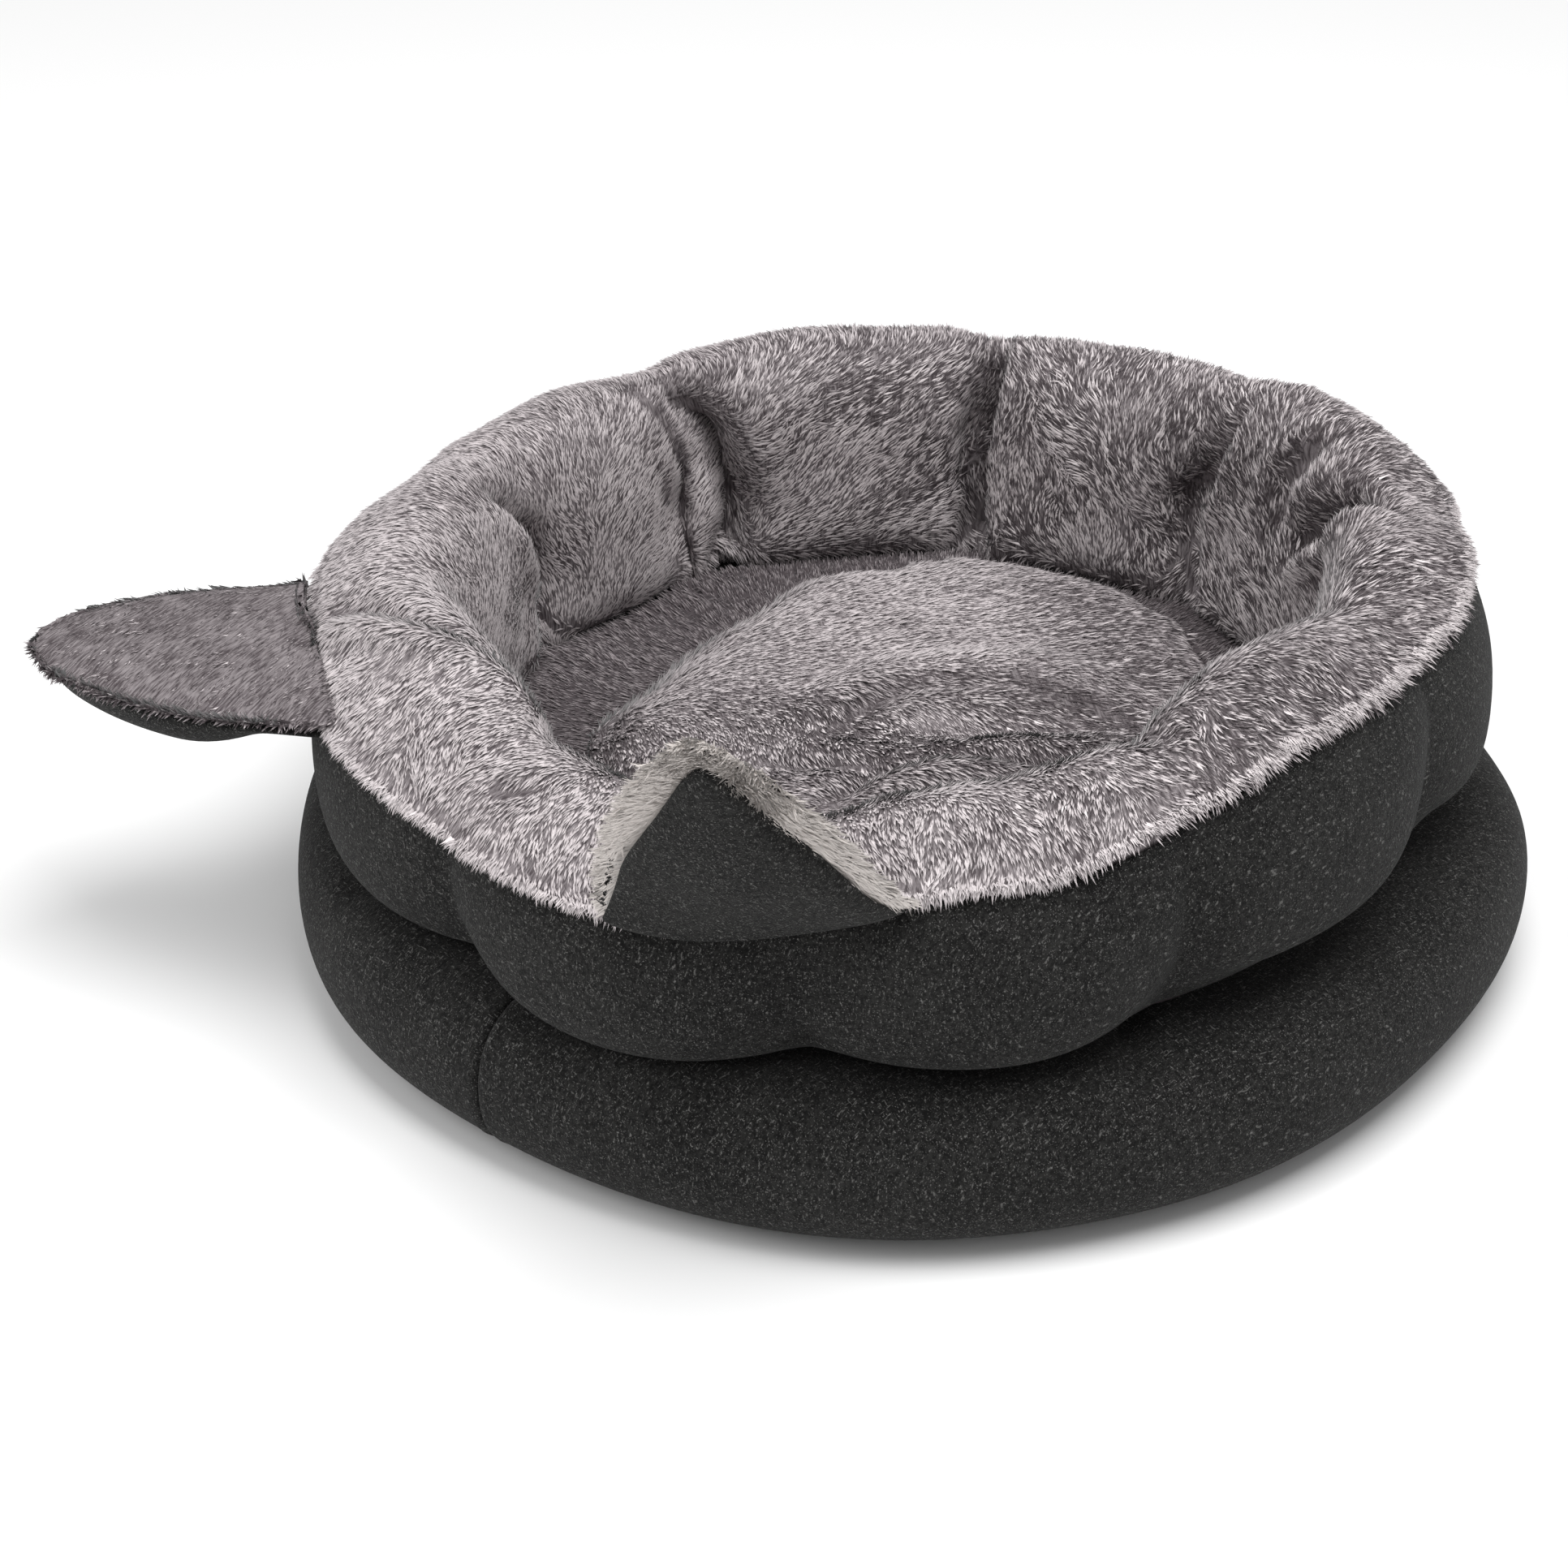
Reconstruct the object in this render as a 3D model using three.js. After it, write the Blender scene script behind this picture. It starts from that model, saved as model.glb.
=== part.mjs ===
// Round fabric pet bed: a thick felt pad carries a filled ring of ten sewn pockets,
// plush on its crown and inside and felt on its outside. A loose plush cushion lies
// inside, and two padded ears are sewn into the rim seam.
//
// Millimetres, +Z up. The origin is the middle of the flat underside, on the floor.
// Azimuths are degrees, counterclockwise from +X seen from above. The lowest stretch
// of the rim, between the two ears, faces -Y.

import * as THREE from 'three';
import { ParametricGeometry } from 'three/addons/geometries/ParametricGeometry.js';
import { mergeVertices } from 'three/addons/utils/BufferGeometryUtils.js';

// Clearances between pieces that lie on or are sewn to each other
const GAP = 0.3;
const SEWN_GAP = 0.8;

// Lower tier
const PAD_HEIGHT = 68;
const PAD_WALL_DEPTH = 34;
const PAD_WALL_FULLNESS = 2.3;
const PAD_WALL_STEPS = 10;
const PAD_FLAT_STEPS = 2;
const PAD_STATIONS = 72;

// Outline of the pad: radius of its widest level at each azimuth
const PAD_OUTLINE = [
  { azimuth: 16, radius: 245 },
  { azimuth: 48, radius: 253 },
  { azimuth: 64, radius: 247 },
  { azimuth: 110, radius: 248 },
  { azimuth: 160, radius: 250 },
  { azimuth: 205, radius: 247 },
  { azimuth: 233, radius: 246 },
  { azimuth: 260, radius: 250 },
  { azimuth: 282, radius: 247 },
  { azimuth: 315, radius: 251 },
  { azimuth: 345, radius: 248 },
];

// Plush floor panel on the pad, inside the ring: backing and pile together
const FLOOR_THICKNESS = 6;
const FLOOR_CLEARANCE = 1;
const FLOOR_EDGE_ROUNDING = 2;
const FLOOR_STEPS = 4;

// Ring of pockets. At the azimuth of each pocket's middle: the height of the plush
// crown, of the rim seam between plush and felt, and of the felt's lower edge, and
// the radius of the outer felt wall and of the inner plush wall.
const POCKETS = [
  { azimuth: 5.5, crown: 192, seam: 170, lip: 86, outer: 230, inner: 150 },
  { azimuth: 40.5, crown: 186, seam: 165, lip: 88, outer: 231, inner: 156 },
  { azimuth: 76, crown: 190, seam: 152, lip: 82, outer: 235, inner: 158 },
  { azimuth: 112.5, crown: 173, seam: 136, lip: 74, outer: 240, inner: 158 },
  { azimuth: 152.5, crown: 172, seam: 136, lip: 70, outer: 242, inner: 158 },
  { azimuth: 190, crown: 168, seam: 132, lip: 68, outer: 242, inner: 154 },
  { azimuth: 222, crown: 170, seam: 134, lip: 68, outer: 241, inner: 160 },
  { azimuth: 256.5, crown: 168, seam: 133, lip: 66, outer: 242, inner: 160 },
  { azimuth: 293, crown: 150, seam: 126, lip: 62, outer: 244, inner: 164 },
  { azimuth: 329.5, crown: 167, seam: 147, lip: 70, outer: 240, inner: 158 },
];

// Sewn channels between the pockets. Outer is the azimuth where the channel draws in
// the felt's lower edge, inner the azimuth on the plush wall. Felt and plush scale
// how deep it is drawn in on the two sides, and lift raises the felt's lower edge.
const CHANNELS = [
  { outer: 23.5, inner: 24, felt: 1.0, plush: 0.8, lift: 12 },
  { outer: 57.5, inner: 57, felt: 0.9, plush: 0.8, lift: 8 },
  { outer: 94.5, inner: 94.5, felt: 0.9, plush: 1.0, lift: 8 },
  { outer: 130.5, inner: 130.5, felt: 0.9, plush: 1.1, lift: 8 },
  { outer: 174.5, inner: 174.5, felt: 0.9, plush: 1.5, lift: 8 },
  { outer: 207.5, inner: 205.5, felt: 0.9, plush: 1.0, lift: 8 },
  { outer: 238.5, inner: 238.5, felt: 0.9, plush: 0.8, lift: 8 },
  { outer: 275, inner: 275, felt: 1.0, plush: 0.7, lift: 12 },
  { outer: 312, inner: 312, felt: 1.0, plush: 0.7, lift: 12 },
  { outer: 347, inner: 347, felt: 1.0, plush: 0.8, lift: 12 },
];

// How far a channel draws the section in, by the turn around the section: 0 faces
// outward, 90 is the crown, 180 faces inward, -90 is the underside
const DRAW_IN = [
  { turn: -90, depth: 6 },
  { turn: -50, depth: 22 },
  { turn: 0, depth: 13 },
  { turn: 40, depth: 5 },
  { turn: 90, depth: 5 },
  { turn: 140, depth: 12 },
  { turn: 180, depth: 17 },
  { turn: 230, depth: 12 },
];
const CHANNEL_SHARPNESS = 2.6;
const STATIONS_IN_POCKET = 9;

// Turns around the section between which a channel crosses from its outer to its inner
// azimuth, and back again under the ring
const CROSSING_OVER = { start: 20, end: 110 };
const CROSSING_UNDER = { start: 215, end: 262 };

// Turns between which the plush side's draw-in takes over from the felt side's
const PLUSH_SIDE_OVER = { start: 60, end: 120 };
const PLUSH_SIDE_UNDER = { start: 240, end: 270 };

// Fullness of the ring's section, as superellipse exponents
const CROWN_FULLNESS = 2.2;
const SHOULDER_FULLNESS = 1.8;
const LIP_FULLNESS = 4;
const WALL_FOOT_FULLNESS = 4.5;
const SECTION_WAIST = 0.48;
const CROWN_LEAN = 8;

// Share of the half width from the middle, toward the felt, over which the underside
// climbs from the pad's top to the felt's lower edge
const UNDERSIDE_CLIMB = { start: -0.1, end: 0.45 };

// The plush stands out above the rim seam by this much, and the ridge fades out
// over this turn around the section
const PILE_RIDGE = 3;
const PILE_RIDGE_FADE = 40;

const FELT_THICKNESS = 2.5;
const FELT_LOWEST_TURN = -84;
const FELT_STEPS = 8;
const PLUSH_STEPS = 17;
const PLUSH_STEP_TURN = 1.5;

// Loose cushion: its own outline, flat underside and uneven top
const CUSHION_THICKNESS = 30;
const CUSHION_EDGE_DEPTH = 20;
const CUSHION_EDGE_HEIGHT = 13;
const CUSHION_STATIONS = 44;
const CUSHION_EDGE_STEPS = 3;
const CUSHION_TOP_STEPS = 11;
const CUSHION_STEP_SPREAD = 1.35;
const CUSHION_CROWN_REACH = 2.6;
const CUSHION_CROWN_FULLNESS = 0.6;
const CUSHION_HUMP_REACH = 4;
const CUSHION_OUTLINE = [
  { azimuth: 20, radius: 130 },
  { azimuth: 60, radius: 136 },
  { azimuth: 95, radius: 147 },
  { azimuth: 128, radius: 142 },
  { azimuth: 155, radius: 128 },
  { azimuth: 187, radius: 108 },
  { azimuth: 215, radius: 110 },
  { azimuth: 242, radius: 134 },
  { azimuth: 280, radius: 130 },
  { azimuth: 325, radius: 126 },
];

// Humps and hollows of the cushion's top: place, half length, half width, the
// azimuth of their length, and height
const CUSHION_HUMPS = [
  { x: 68, y: -8, length: 52, width: 20, azimuth: 61, height: 9 },
  { x: 44, y: 6, length: 60, width: 10, azimuth: 61, height: -9 },
  { x: 20, y: 30, length: 60, width: 22, azimuth: 70, height: 6 },
];

// Padded ears, sewn into the rim seam at an azimuth. Heading is the azimuth in which
// the ear points, rise its angle above level, and puff the fullness of its felt half.
// Shoulder and taper shape its outline, lean is how far its tip lies to one side, trim
// the share by which its felt half is smaller than its plush half, and spread the turn
// over which each half is sewn to the ring.
const EARS = [
  {
    side: 'left', azimuth: 241, heading: 226, rise: 1, length: 117, width: 127, puff: 26,
    shoulder: 1.7, taper: 0.57, lean: 0, trim: 0.07, spread: 9.5,
  },
  {
    side: 'front', azimuth: 308, heading: 310, rise: 61, length: 126, width: 118, puff: 8,
    shoulder: 1.3, taper: 0.75, lean: -7, trim: 0.12, spread: 6,
  },
];
const EAR_EDGE_THICKNESS = 4;
const EAR_PLUSH_FULLNESS = 8;
const EAR_HALVES_GAP = 0.8;
const EAR_HALVES_TURN = 0.7;
const EAR_ROOT_BLEND = 0.3;
const EAR_PUFF_START = 0.3;
const EAR_PUFF_ACROSS = 0.7;
const EAR_PUFF_ALONG = 3;
const EAR_EDGE_ALONG = 6;
const EAR_CORNER_THINNING = 0.9;
const EAR_ACROSS_STEPS = 10;
const EAR_ALONG_STEPS = 9;
const EAR_CLEARANCE = 1.15;

const radians = THREE.MathUtils.degToRad;
const degrees = THREE.MathUtils.radToDeg;
const { lerp, smoothstep, euclideanModulo } = THREE.MathUtils;

// Surface finishes
const felt = new THREE.MeshStandardMaterial({ color: 0x2f3032, roughness: 0.95, metalness: 0 });
const plush = new THREE.MeshStandardMaterial({ color: 0x81787d, roughness: 0.9, metalness: 0 });

// Closed geometry from a surface function of two numbers from 0 to 1: equal points are
// joined, and triangles that collapse at a pole are dropped. Each square of the grid is
// cut along one diagonal, and along the other one where crossed says so for its row.
function closedGeometry(surface, across, along, crossed = () => false) {
  const patch = new ParametricGeometry(surface, across, along);
  patch.deleteAttribute('normal');
  patch.deleteAttribute('uv');
  const corner = (row, column) => row * (across + 1) + column;
  const cut = [];
  for (let row = 0; row < along; row += 1) {
    for (let column = 0; column < across; column += 1) {
      const a = corner(row, column);
      const b = corner(row, column + 1);
      const c = corner(row + 1, column + 1);
      const d = corner(row + 1, column);
      cut.push(...(crossed(row) ? [a, b, c, a, c, d] : [a, b, d, b, c, d]));
    }
  }
  patch.setIndex(cut);
  const joined = mergeVertices(patch, 1e-4);
  const corners = Array.from(joined.index.array);
  const kept = [];
  for (let i = 0; i < corners.length; i += 3) {
    const [a, b, c] = corners.slice(i, i + 3);
    if (a !== b && b !== c && c !== a) {
      kept.push(a, b, c);
    }
  }
  joined.setIndex(kept);
  joined.computeVertexNormals();
  return joined;
}

// Value of one column of a table at a place on a circle, eased between the rows
function aroundCircle(rows, key, column, place) {
  const count = rows.length;
  for (let i = 0; i < count; i += 1) {
    const here = rows[i];
    const next = rows[(i + 1) % count];
    const span = euclideanModulo(next[key] - here[key], 360);
    const along = euclideanModulo(place - here[key], 360);
    if (along <= span) {
      return lerp(here[column], next[column], smoothstep(along / span, 0, 1));
    }
  }
  return rows[0][column];
}

// Signed power, for superellipse sections
function fullness(value, exponent) {
  return Math.sign(value) * Math.abs(value) ** (2 / exponent);
}

// Point at a radius, height and azimuth
function polar(target, radius, height, azimuth) {
  const angle = radians(azimuth);
  return target.set(radius * Math.cos(angle), radius * Math.sin(angle), height);
}

const PAD_STEPS = PAD_WALL_STEPS + 2 * PAD_FLAT_STEPS;

// Lower tier: from the middle of the underside out, up the bulging wall and back in
function padSurface(u, v, target) {
  const azimuth = 360 * (u % 1);
  const flat = aroundCircle(PAD_OUTLINE, 'azimuth', 'radius', azimuth) - PAD_WALL_DEPTH;
  const step = Math.round(v * PAD_STEPS);
  if (step <= PAD_FLAT_STEPS) {
    return polar(target, flat * step / PAD_FLAT_STEPS, 0, azimuth);
  }
  if (step >= PAD_STEPS - PAD_FLAT_STEPS) {
    return polar(target, flat * (PAD_STEPS - step) / PAD_FLAT_STEPS, PAD_HEIGHT, azimuth);
  }
  const turn = radians(lerp(-90, 90, (step - PAD_FLAT_STEPS) / PAD_WALL_STEPS));
  const half = PAD_HEIGHT / 2;
  const reach = PAD_WALL_DEPTH * fullness(Math.cos(turn), PAD_WALL_FULLNESS);
  const height = half + half * fullness(Math.sin(turn), PAD_WALL_FULLNESS);
  return polar(target, flat + reach, height, azimuth);
}

// Height of the pad's top and rounded shoulder at a radius and azimuth
function padTopAt(radius, azimuth) {
  const flat = aroundCircle(PAD_OUTLINE, 'azimuth', 'radius', azimuth) - PAD_WALL_DEPTH;
  const share = THREE.MathUtils.clamp((radius - flat) / PAD_WALL_DEPTH, 0, 1);
  const up = Math.sqrt(1 - share ** PAD_WALL_FULLNESS);
  return PAD_HEIGHT / 2 * (1 + fullness(up, PAD_WALL_FULLNESS));
}

const FLOOR_BOTTOM = PAD_HEIGHT + GAP;
const FLOOR_TOP = FLOOR_BOTTOM + FLOOR_THICKNESS;

// Share of the plush side at a turn: 0 on the felt side, 1 on the inner wall
function sideShare(turn, over, under) {
  const passedOver = smoothstep(turn, over.start, over.end);
  const passedUnder = smoothstep(turn, under.start, under.end);
  return passedOver * (1 - passedUnder);
}

// Azimuth in the ring at a pocket number and a share of its width, on the section's
// turn: a channel may lie at other azimuths on the felt and on the plush side
function ringAzimuth(pocket, share, turn) {
  const crossing = sideShare(turn, CROSSING_OVER, CROSSING_UNDER);
  const start = CHANNELS[pocket];
  const end = CHANNELS[(pocket + 1) % CHANNELS.length];
  const from = lerp(start.outer, start.inner, crossing);
  const to = lerp(end.outer, end.inner, crossing);
  return from + share * euclideanModulo(to - from, 360);
}

// How far the channels draw the section in at a share of a pocket's width
function drawIn(pocket, share, turn, column) {
  const near = share < 0.5 ? pocket : (pocket + 1) % CHANNELS.length;
  const strength = Math.abs(2 * share - 1) ** CHANNEL_SHARPNESS;
  return strength * CHANNELS[near][column];
}

// Sizes of the ring's section at an azimuth
function ringSizes(azimuth) {
  const sizes = {};
  for (const column of ['crown', 'seam', 'lip', 'outer', 'inner']) {
    sizes[column] = aroundCircle(POCKETS, 'azimuth', column, azimuth);
  }
  return sizes;
}

// Turn of the rim seam on the section: where the upper outer quarter reaches its height
function seamTurn(sizes) {
  const waist = lerp(FLOOR_BOTTOM, sizes.crown, SECTION_WAIST);
  const share = (sizes.seam - waist) / (sizes.crown - waist);
  return degrees(Math.asin(THREE.MathUtils.clamp(share, 0, 1) ** (SHOULDER_FULLNESS / 2)));
}

// Radius and height of the ring's outside at a pocket, a share of its width and a turn
// around the section, moved off the surface by an offset
function ringPoint(pocket, share, turn, offset) {
  const azimuth = ringAzimuth(pocket, share, turn);
  const sizes = ringSizes(azimuth);
  const middle = (sizes.outer + sizes.inner) / 2;
  const half = (sizes.outer - sizes.inner) / 2;
  const waist = lerp(FLOOR_BOTTOM, sizes.crown, SECTION_WAIST);
  const across = Math.cos(radians(turn));
  const up = Math.sin(radians(turn));
  const lift = drawIn(pocket, share, turn, 'lift');
  const outerFoot = sizes.lip + lift;
  const climb = smoothstep(across, UNDERSIDE_CLIMB.start, UNDERSIDE_CLIMB.end);
  const underside = lerp(FLOOR_BOTTOM, outerFoot, climb);
  const upper = across >= 0 ? SHOULDER_FULLNESS : CROWN_FULLNESS;
  const lower = across >= 0 ? LIP_FULLNESS : WALL_FOOT_FULLNESS;
  const exponent = up >= 0 ? upper : lower;
  const rise = up >= 0 ? sizes.crown - waist : waist - underside;
  let radius = middle + half * fullness(across, exponent) - CROWN_LEAN * Math.max(0, up) ** 2;
  let height = waist + rise * fullness(up, exponent);
  const side = sideShare(turn, PLUSH_SIDE_OVER, PLUSH_SIDE_UNDER);
  const pull = lerp(drawIn(pocket, share, turn, 'felt'), drawIn(pocket, share, turn, 'plush'), side);
  const depth = pull * aroundCircle(DRAW_IN, 'turn', 'depth', turn);
  const seam = seamTurn(sizes);
  const pastSeam = euclideanModulo(turn - seam, 360);
  const onPile = offset >= 0 && pastSeam > PLUSH_STEP_TURN / 2;
  const ridge = onPile ? PILE_RIDGE * (1 - smoothstep(pastSeam, 0, PILE_RIDGE_FADE)) : 0;
  const length = Math.hypot(across / half, up / rise);
  radius += (offset + ridge - depth) * across / half / length;
  height += (offset + ridge - (up < 0 ? 0 : depth)) * up / rise / length;
  const lowest = padTopAt(radius, azimuth) + GAP - Math.min(0, offset);
  return { azimuth, radius, height: Math.max(height, lowest) };
}

// Pocket number and share of its width for a share of the whole ring, with stations
// gathered toward the channels
function ringPlace(u) {
  const place = (u % 1) * CHANNELS.length;
  const pocket = Math.floor(place + 1e-9);
  const share = place - pocket;
  return { pocket, share: 0.5 - 0.5 * Math.cos(Math.PI * share) };
}

const RING_STATIONS = CHANNELS.length * STATIONS_IN_POCKET;
const PLUSH_LOOP_STEPS = PLUSH_STEPS + FELT_STEPS + 4;
const FELT_LOOP_STEPS = 2 * FELT_STEPS + 2;

// Felt outer panel: up the outside, then back down on its inner face
function feltPanelSurface(u, v, target) {
  const { pocket, share } = ringPlace(u);
  const seam = seamTurn(ringSizes(ringAzimuth(pocket, share, 0)));
  const step = Math.round(v * FELT_LOOP_STEPS) % FELT_LOOP_STEPS;
  const rising = step <= FELT_STEPS;
  const climb = (rising ? step : FELT_LOOP_STEPS - 1 - step) / FELT_STEPS;
  const turn = lerp(FELT_LOWEST_TURN, seam, climb);
  const point = ringPoint(pocket, share, turn, rising ? 0 : -FELT_THICKNESS);
  return polar(target, point.radius, point.height, point.azimuth);
}

// Filled plush ring: over the crown, down the inner wall and under, then back up
// behind the felt panel
function plushRingSurface(u, v, target) {
  const { pocket, share } = ringPlace(u);
  const seam = seamTurn(ringSizes(ringAzimuth(pocket, share, 0)));
  const step = Math.round(v * PLUSH_LOOP_STEPS) % PLUSH_LOOP_STEPS;
  const above = seam + PLUSH_STEP_TURN;
  const below = 360 + FELT_LOWEST_TURN - PLUSH_STEP_TURN;
  if (step <= PLUSH_STEPS) {
    const open = ringPoint(pocket, share, lerp(above, below, step / PLUSH_STEPS), 0);
    return polar(target, open.radius, open.height, open.azimuth);
  }
  const climb = (step - PLUSH_STEPS - 2) / FELT_STEPS;
  const panelTurn = lerp(FELT_LOWEST_TURN, seam, climb);
  const turn = climb < 0 ? below - 360 : (climb > 1 ? above : panelTurn);
  const behind = ringPoint(pocket, share, turn, -(FELT_THICKNESS + SEWN_GAP));
  return polar(target, behind.radius, behind.height, behind.azimuth);
}

// Radius of the ring's inner foot: the least of the wall's lowest stretch, searched in
// turns around the section
const FOOT_SEARCH = { start: 190, end: 262, step: 4 };
const FOOT_HEIGHT = FLOOR_TOP + 2;

function footRadius(pocket, share) {
  let foot = Infinity;
  for (let turn = FOOT_SEARCH.start; turn < FOOT_SEARCH.end; turn += FOOT_SEARCH.step) {
    const point = ringPoint(pocket, share, turn, 0);
    if (point.height < FOOT_HEIGHT) {
      foot = Math.min(foot, point.radius);
    }
  }
  return foot;
}

// Plush floor panel: a slab that reaches the ring's foot all round
function floorSurface(u, v, target) {
  const { pocket, share } = ringPlace(u);
  const edge = footRadius(pocket, share) - FLOOR_CLEARANCE;
  const profile = [
    { radius: 0, height: FLOOR_BOTTOM },
    { radius: edge, height: FLOOR_BOTTOM },
    { radius: edge, height: FLOOR_TOP - FLOOR_EDGE_ROUNDING },
    { radius: edge - FLOOR_EDGE_ROUNDING, height: FLOOR_TOP },
    { radius: 0, height: FLOOR_TOP },
  ];
  const row = profile[Math.round(v * FLOOR_STEPS)];
  return polar(target, row.radius, row.height, ringAzimuth(pocket, share, 180));
}

// Height that the humps and hollows add to the cushion's top
function humpHeight(x, y) {
  let height = 0;
  for (const hump of CUSHION_HUMPS) {
    const angle = radians(hump.azimuth);
    const along = (x - hump.x) * Math.cos(angle) + (y - hump.y) * Math.sin(angle);
    const across = (y - hump.y) * Math.cos(angle) - (x - hump.x) * Math.sin(angle);
    const distance = (along / hump.length) ** 2 + (across / hump.width) ** 2;
    height += hump.height * Math.exp(-distance);
  }
  return height;
}

const CUSHION_BOTTOM = FLOOR_TOP + GAP;
const CUSHION_STEPS = CUSHION_EDGE_STEPS + CUSHION_TOP_STEPS + 1;

// Cushion: flat underside, round edge and crowned, uneven top
function cushionSurface(u, v, target) {
  const azimuth = 360 * (u % 1);
  const outline = aroundCircle(CUSHION_OUTLINE, 'azimuth', 'radius', azimuth);
  const step = Math.round(v * CUSHION_STEPS);
  const middle = CUSHION_BOTTOM + CUSHION_EDGE_HEIGHT;
  if (step === 0) {
    return target.set(0, 0, CUSHION_BOTTOM);
  }
  if (step <= CUSHION_EDGE_STEPS) {
    const turn = radians(90 * (step - 1) / CUSHION_EDGE_STEPS);
    const reach = outline - CUSHION_EDGE_DEPTH * (1 - Math.sin(turn));
    return polar(target, reach, middle - CUSHION_EDGE_HEIGHT * Math.cos(turn), azimuth);
  }
  const inward = (step - CUSHION_EDGE_STEPS - 1) / CUSHION_TOP_STEPS;
  const share = 1 - inward ** CUSHION_STEP_SPREAD;
  const rise = (1 - share ** CUSHION_CROWN_REACH) ** CUSHION_CROWN_FULLNESS;
  const crown = (CUSHION_THICKNESS - CUSHION_EDGE_HEIGHT) * rise;
  polar(target, outline * share, 0, azimuth);
  const humps = humpHeight(target.x, target.y) * (1 - share ** CUSHION_HUMP_REACH);
  return target.setZ(middle + crown + humps);
}

// Place in the ring, as pocket number and share, of an azimuth on the felt side
function ringPlaceAt(azimuth) {
  for (let pocket = 0; pocket < CHANNELS.length; pocket += 1) {
    const start = ringAzimuth(pocket, 0, 0);
    const width = euclideanModulo(ringAzimuth(pocket, 1, 0) - start, 360);
    const along = euclideanModulo(azimuth - start, 360);
    if (along < width) {
      return { pocket, share: along / width };
    }
  }
  return { pocket: 0, share: 0 };
}

// One half of a padded ear: face 1 is the plush side and -1 the felt side. Its root
// follows the ring's outside at the rim seam, and it blends into the free ear.
function earSurface(ear, face) {
  const heading = radians(ear.heading);
  const rise = radians(ear.rise);
  const outward = new THREE.Vector3(Math.cos(heading), Math.sin(heading), 0);
  const upward = new THREE.Vector3(0, 0, 1);
  const along = outward.multiplyScalar(Math.cos(rise)).addScaledVector(upward, Math.sin(rise));
  const side = new THREE.Vector3(-Math.sin(heading), Math.cos(heading), 0);
  const thick = along.clone().cross(side).negate();
  thick.multiplyScalar(Math.sign(thick.z));
  const middle = ringPlaceAt(ear.azimuth);
  const seam = seamTurn(ringSizes(ear.azimuth));
  const rootMiddle = ringPoint(middle.pocket, middle.share, seam, EAR_CLEARANCE);
  const root = polar(new THREE.Vector3(), rootMiddle.radius, rootMiddle.height, ear.azimuth);

  // across runs from -1 to 1 over the ear's width, share from 0 at the root to 1 at the
  // plush tip, reach to 1 at the half's own tip, and depth from 0 to 1 through the half
  function rootPoint(across, depth) {
    const place = degrees(across * ear.width / 2 / rootMiddle.radius) + ear.azimuth;
    const spot = ringPlaceAt(place);
    const thinning = Math.sqrt(1 - EAR_CORNER_THINNING * across ** 2);
    const spread = depth * ear.spread * thinning + EAR_HALVES_TURN;
    const turn = seamTurn(ringSizes(place)) + face * spread;
    const point = ringPoint(spot.pocket, spot.share, turn, EAR_CLEARANCE + PILE_RIDGE);
    return polar(new THREE.Vector3(), point.radius, point.height, point.azimuth);
  }

  function freePoint(across, depth, share, reach) {
    const halfWidth = ear.width / 2 * (1 - reach ** ear.shoulder) ** ear.taper;
    const feltPuff = ear.puff * smoothstep(share, 0, EAR_PUFF_START);
    const full = face > 0 ? EAR_PLUSH_FULLNESS : feltPuff;
    const puff = full * (1 - across ** 2) ** EAR_PUFF_ACROSS * (1 - share ** EAR_PUFF_ALONG);
    const edge = EAR_EDGE_THICKNESS / 2 * (1 - share ** EAR_EDGE_ALONG);
    const half = (edge + puff) * depth;
    return root.clone()
      .addScaledVector(along, ear.length * share)
      .addScaledVector(side, across * halfWidth + ear.lean * share)
      .addScaledVector(thick, face * (half + EAR_HALVES_GAP / 2));
  }

  const trim = face > 0 ? 0 : ear.trim;
  return (u, v, target) => {
    const step = Math.round(v * (EAR_ALONG_STEPS + 1));
    const reach = Math.max(0, (step - 1) / EAR_ALONG_STEPS);
    const share = reach * (1 - trim * reach ** 2);
    const blend = smoothstep(share, 0, EAR_ROOT_BLEND);
    const loop = (u % 1) * 2;
    const outerFace = loop < 1;
    const sweep = outerFace ? 1 - 2 * loop : 2 * loop - 3;
    const pole = step === 0 || step > EAR_ALONG_STEPS;
    const across = pole ? 0 : (1 - trim * blend) * sweep * face;
    const depth = pole ? 0.5 : (outerFace ? 1 : 0);
    return target.copy(rootPoint(across, depth)).lerp(freePoint(across, depth, share, reach), blend);
  };
}

// Assembly
const bed = new THREE.Group();

function addPiece(name, geometry, material) {
  const piece = new THREE.Mesh(geometry, material);
  piece.name = name;
  bed.add(piece);
}

addPiece('base_pad', closedGeometry(padSurface, PAD_STATIONS, PAD_STEPS), felt);
addPiece('floor_plush', closedGeometry(floorSurface, RING_STATIONS, FLOOR_STEPS), plush);
const behindPanel = (row) => row > PLUSH_STEPS;
const plushRing = closedGeometry(plushRingSurface, RING_STATIONS, PLUSH_LOOP_STEPS, behindPanel);
addPiece('bolster_plush', plushRing, plush);
addPiece('bolster_felt', closedGeometry(feltPanelSurface, RING_STATIONS, FELT_LOOP_STEPS), felt);
addPiece('cushion', closedGeometry(cushionSurface, CUSHION_STATIONS, CUSHION_STEPS), plush);

const earAcross = 2 * EAR_ACROSS_STEPS;
const earAlong = EAR_ALONG_STEPS + 1;
for (const ear of EARS) {
  const plushHalf = closedGeometry(earSurface(ear, 1), earAcross, earAlong);
  const feltHalf = closedGeometry(earSurface(ear, -1), earAcross, earAlong, () => true);
  addPiece(`ear_${ear.side}_plush`, plushHalf, plush);
  addPiece(`ear_${ear.side}_felt`, feltHalf, felt);
}

export default bed;
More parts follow.
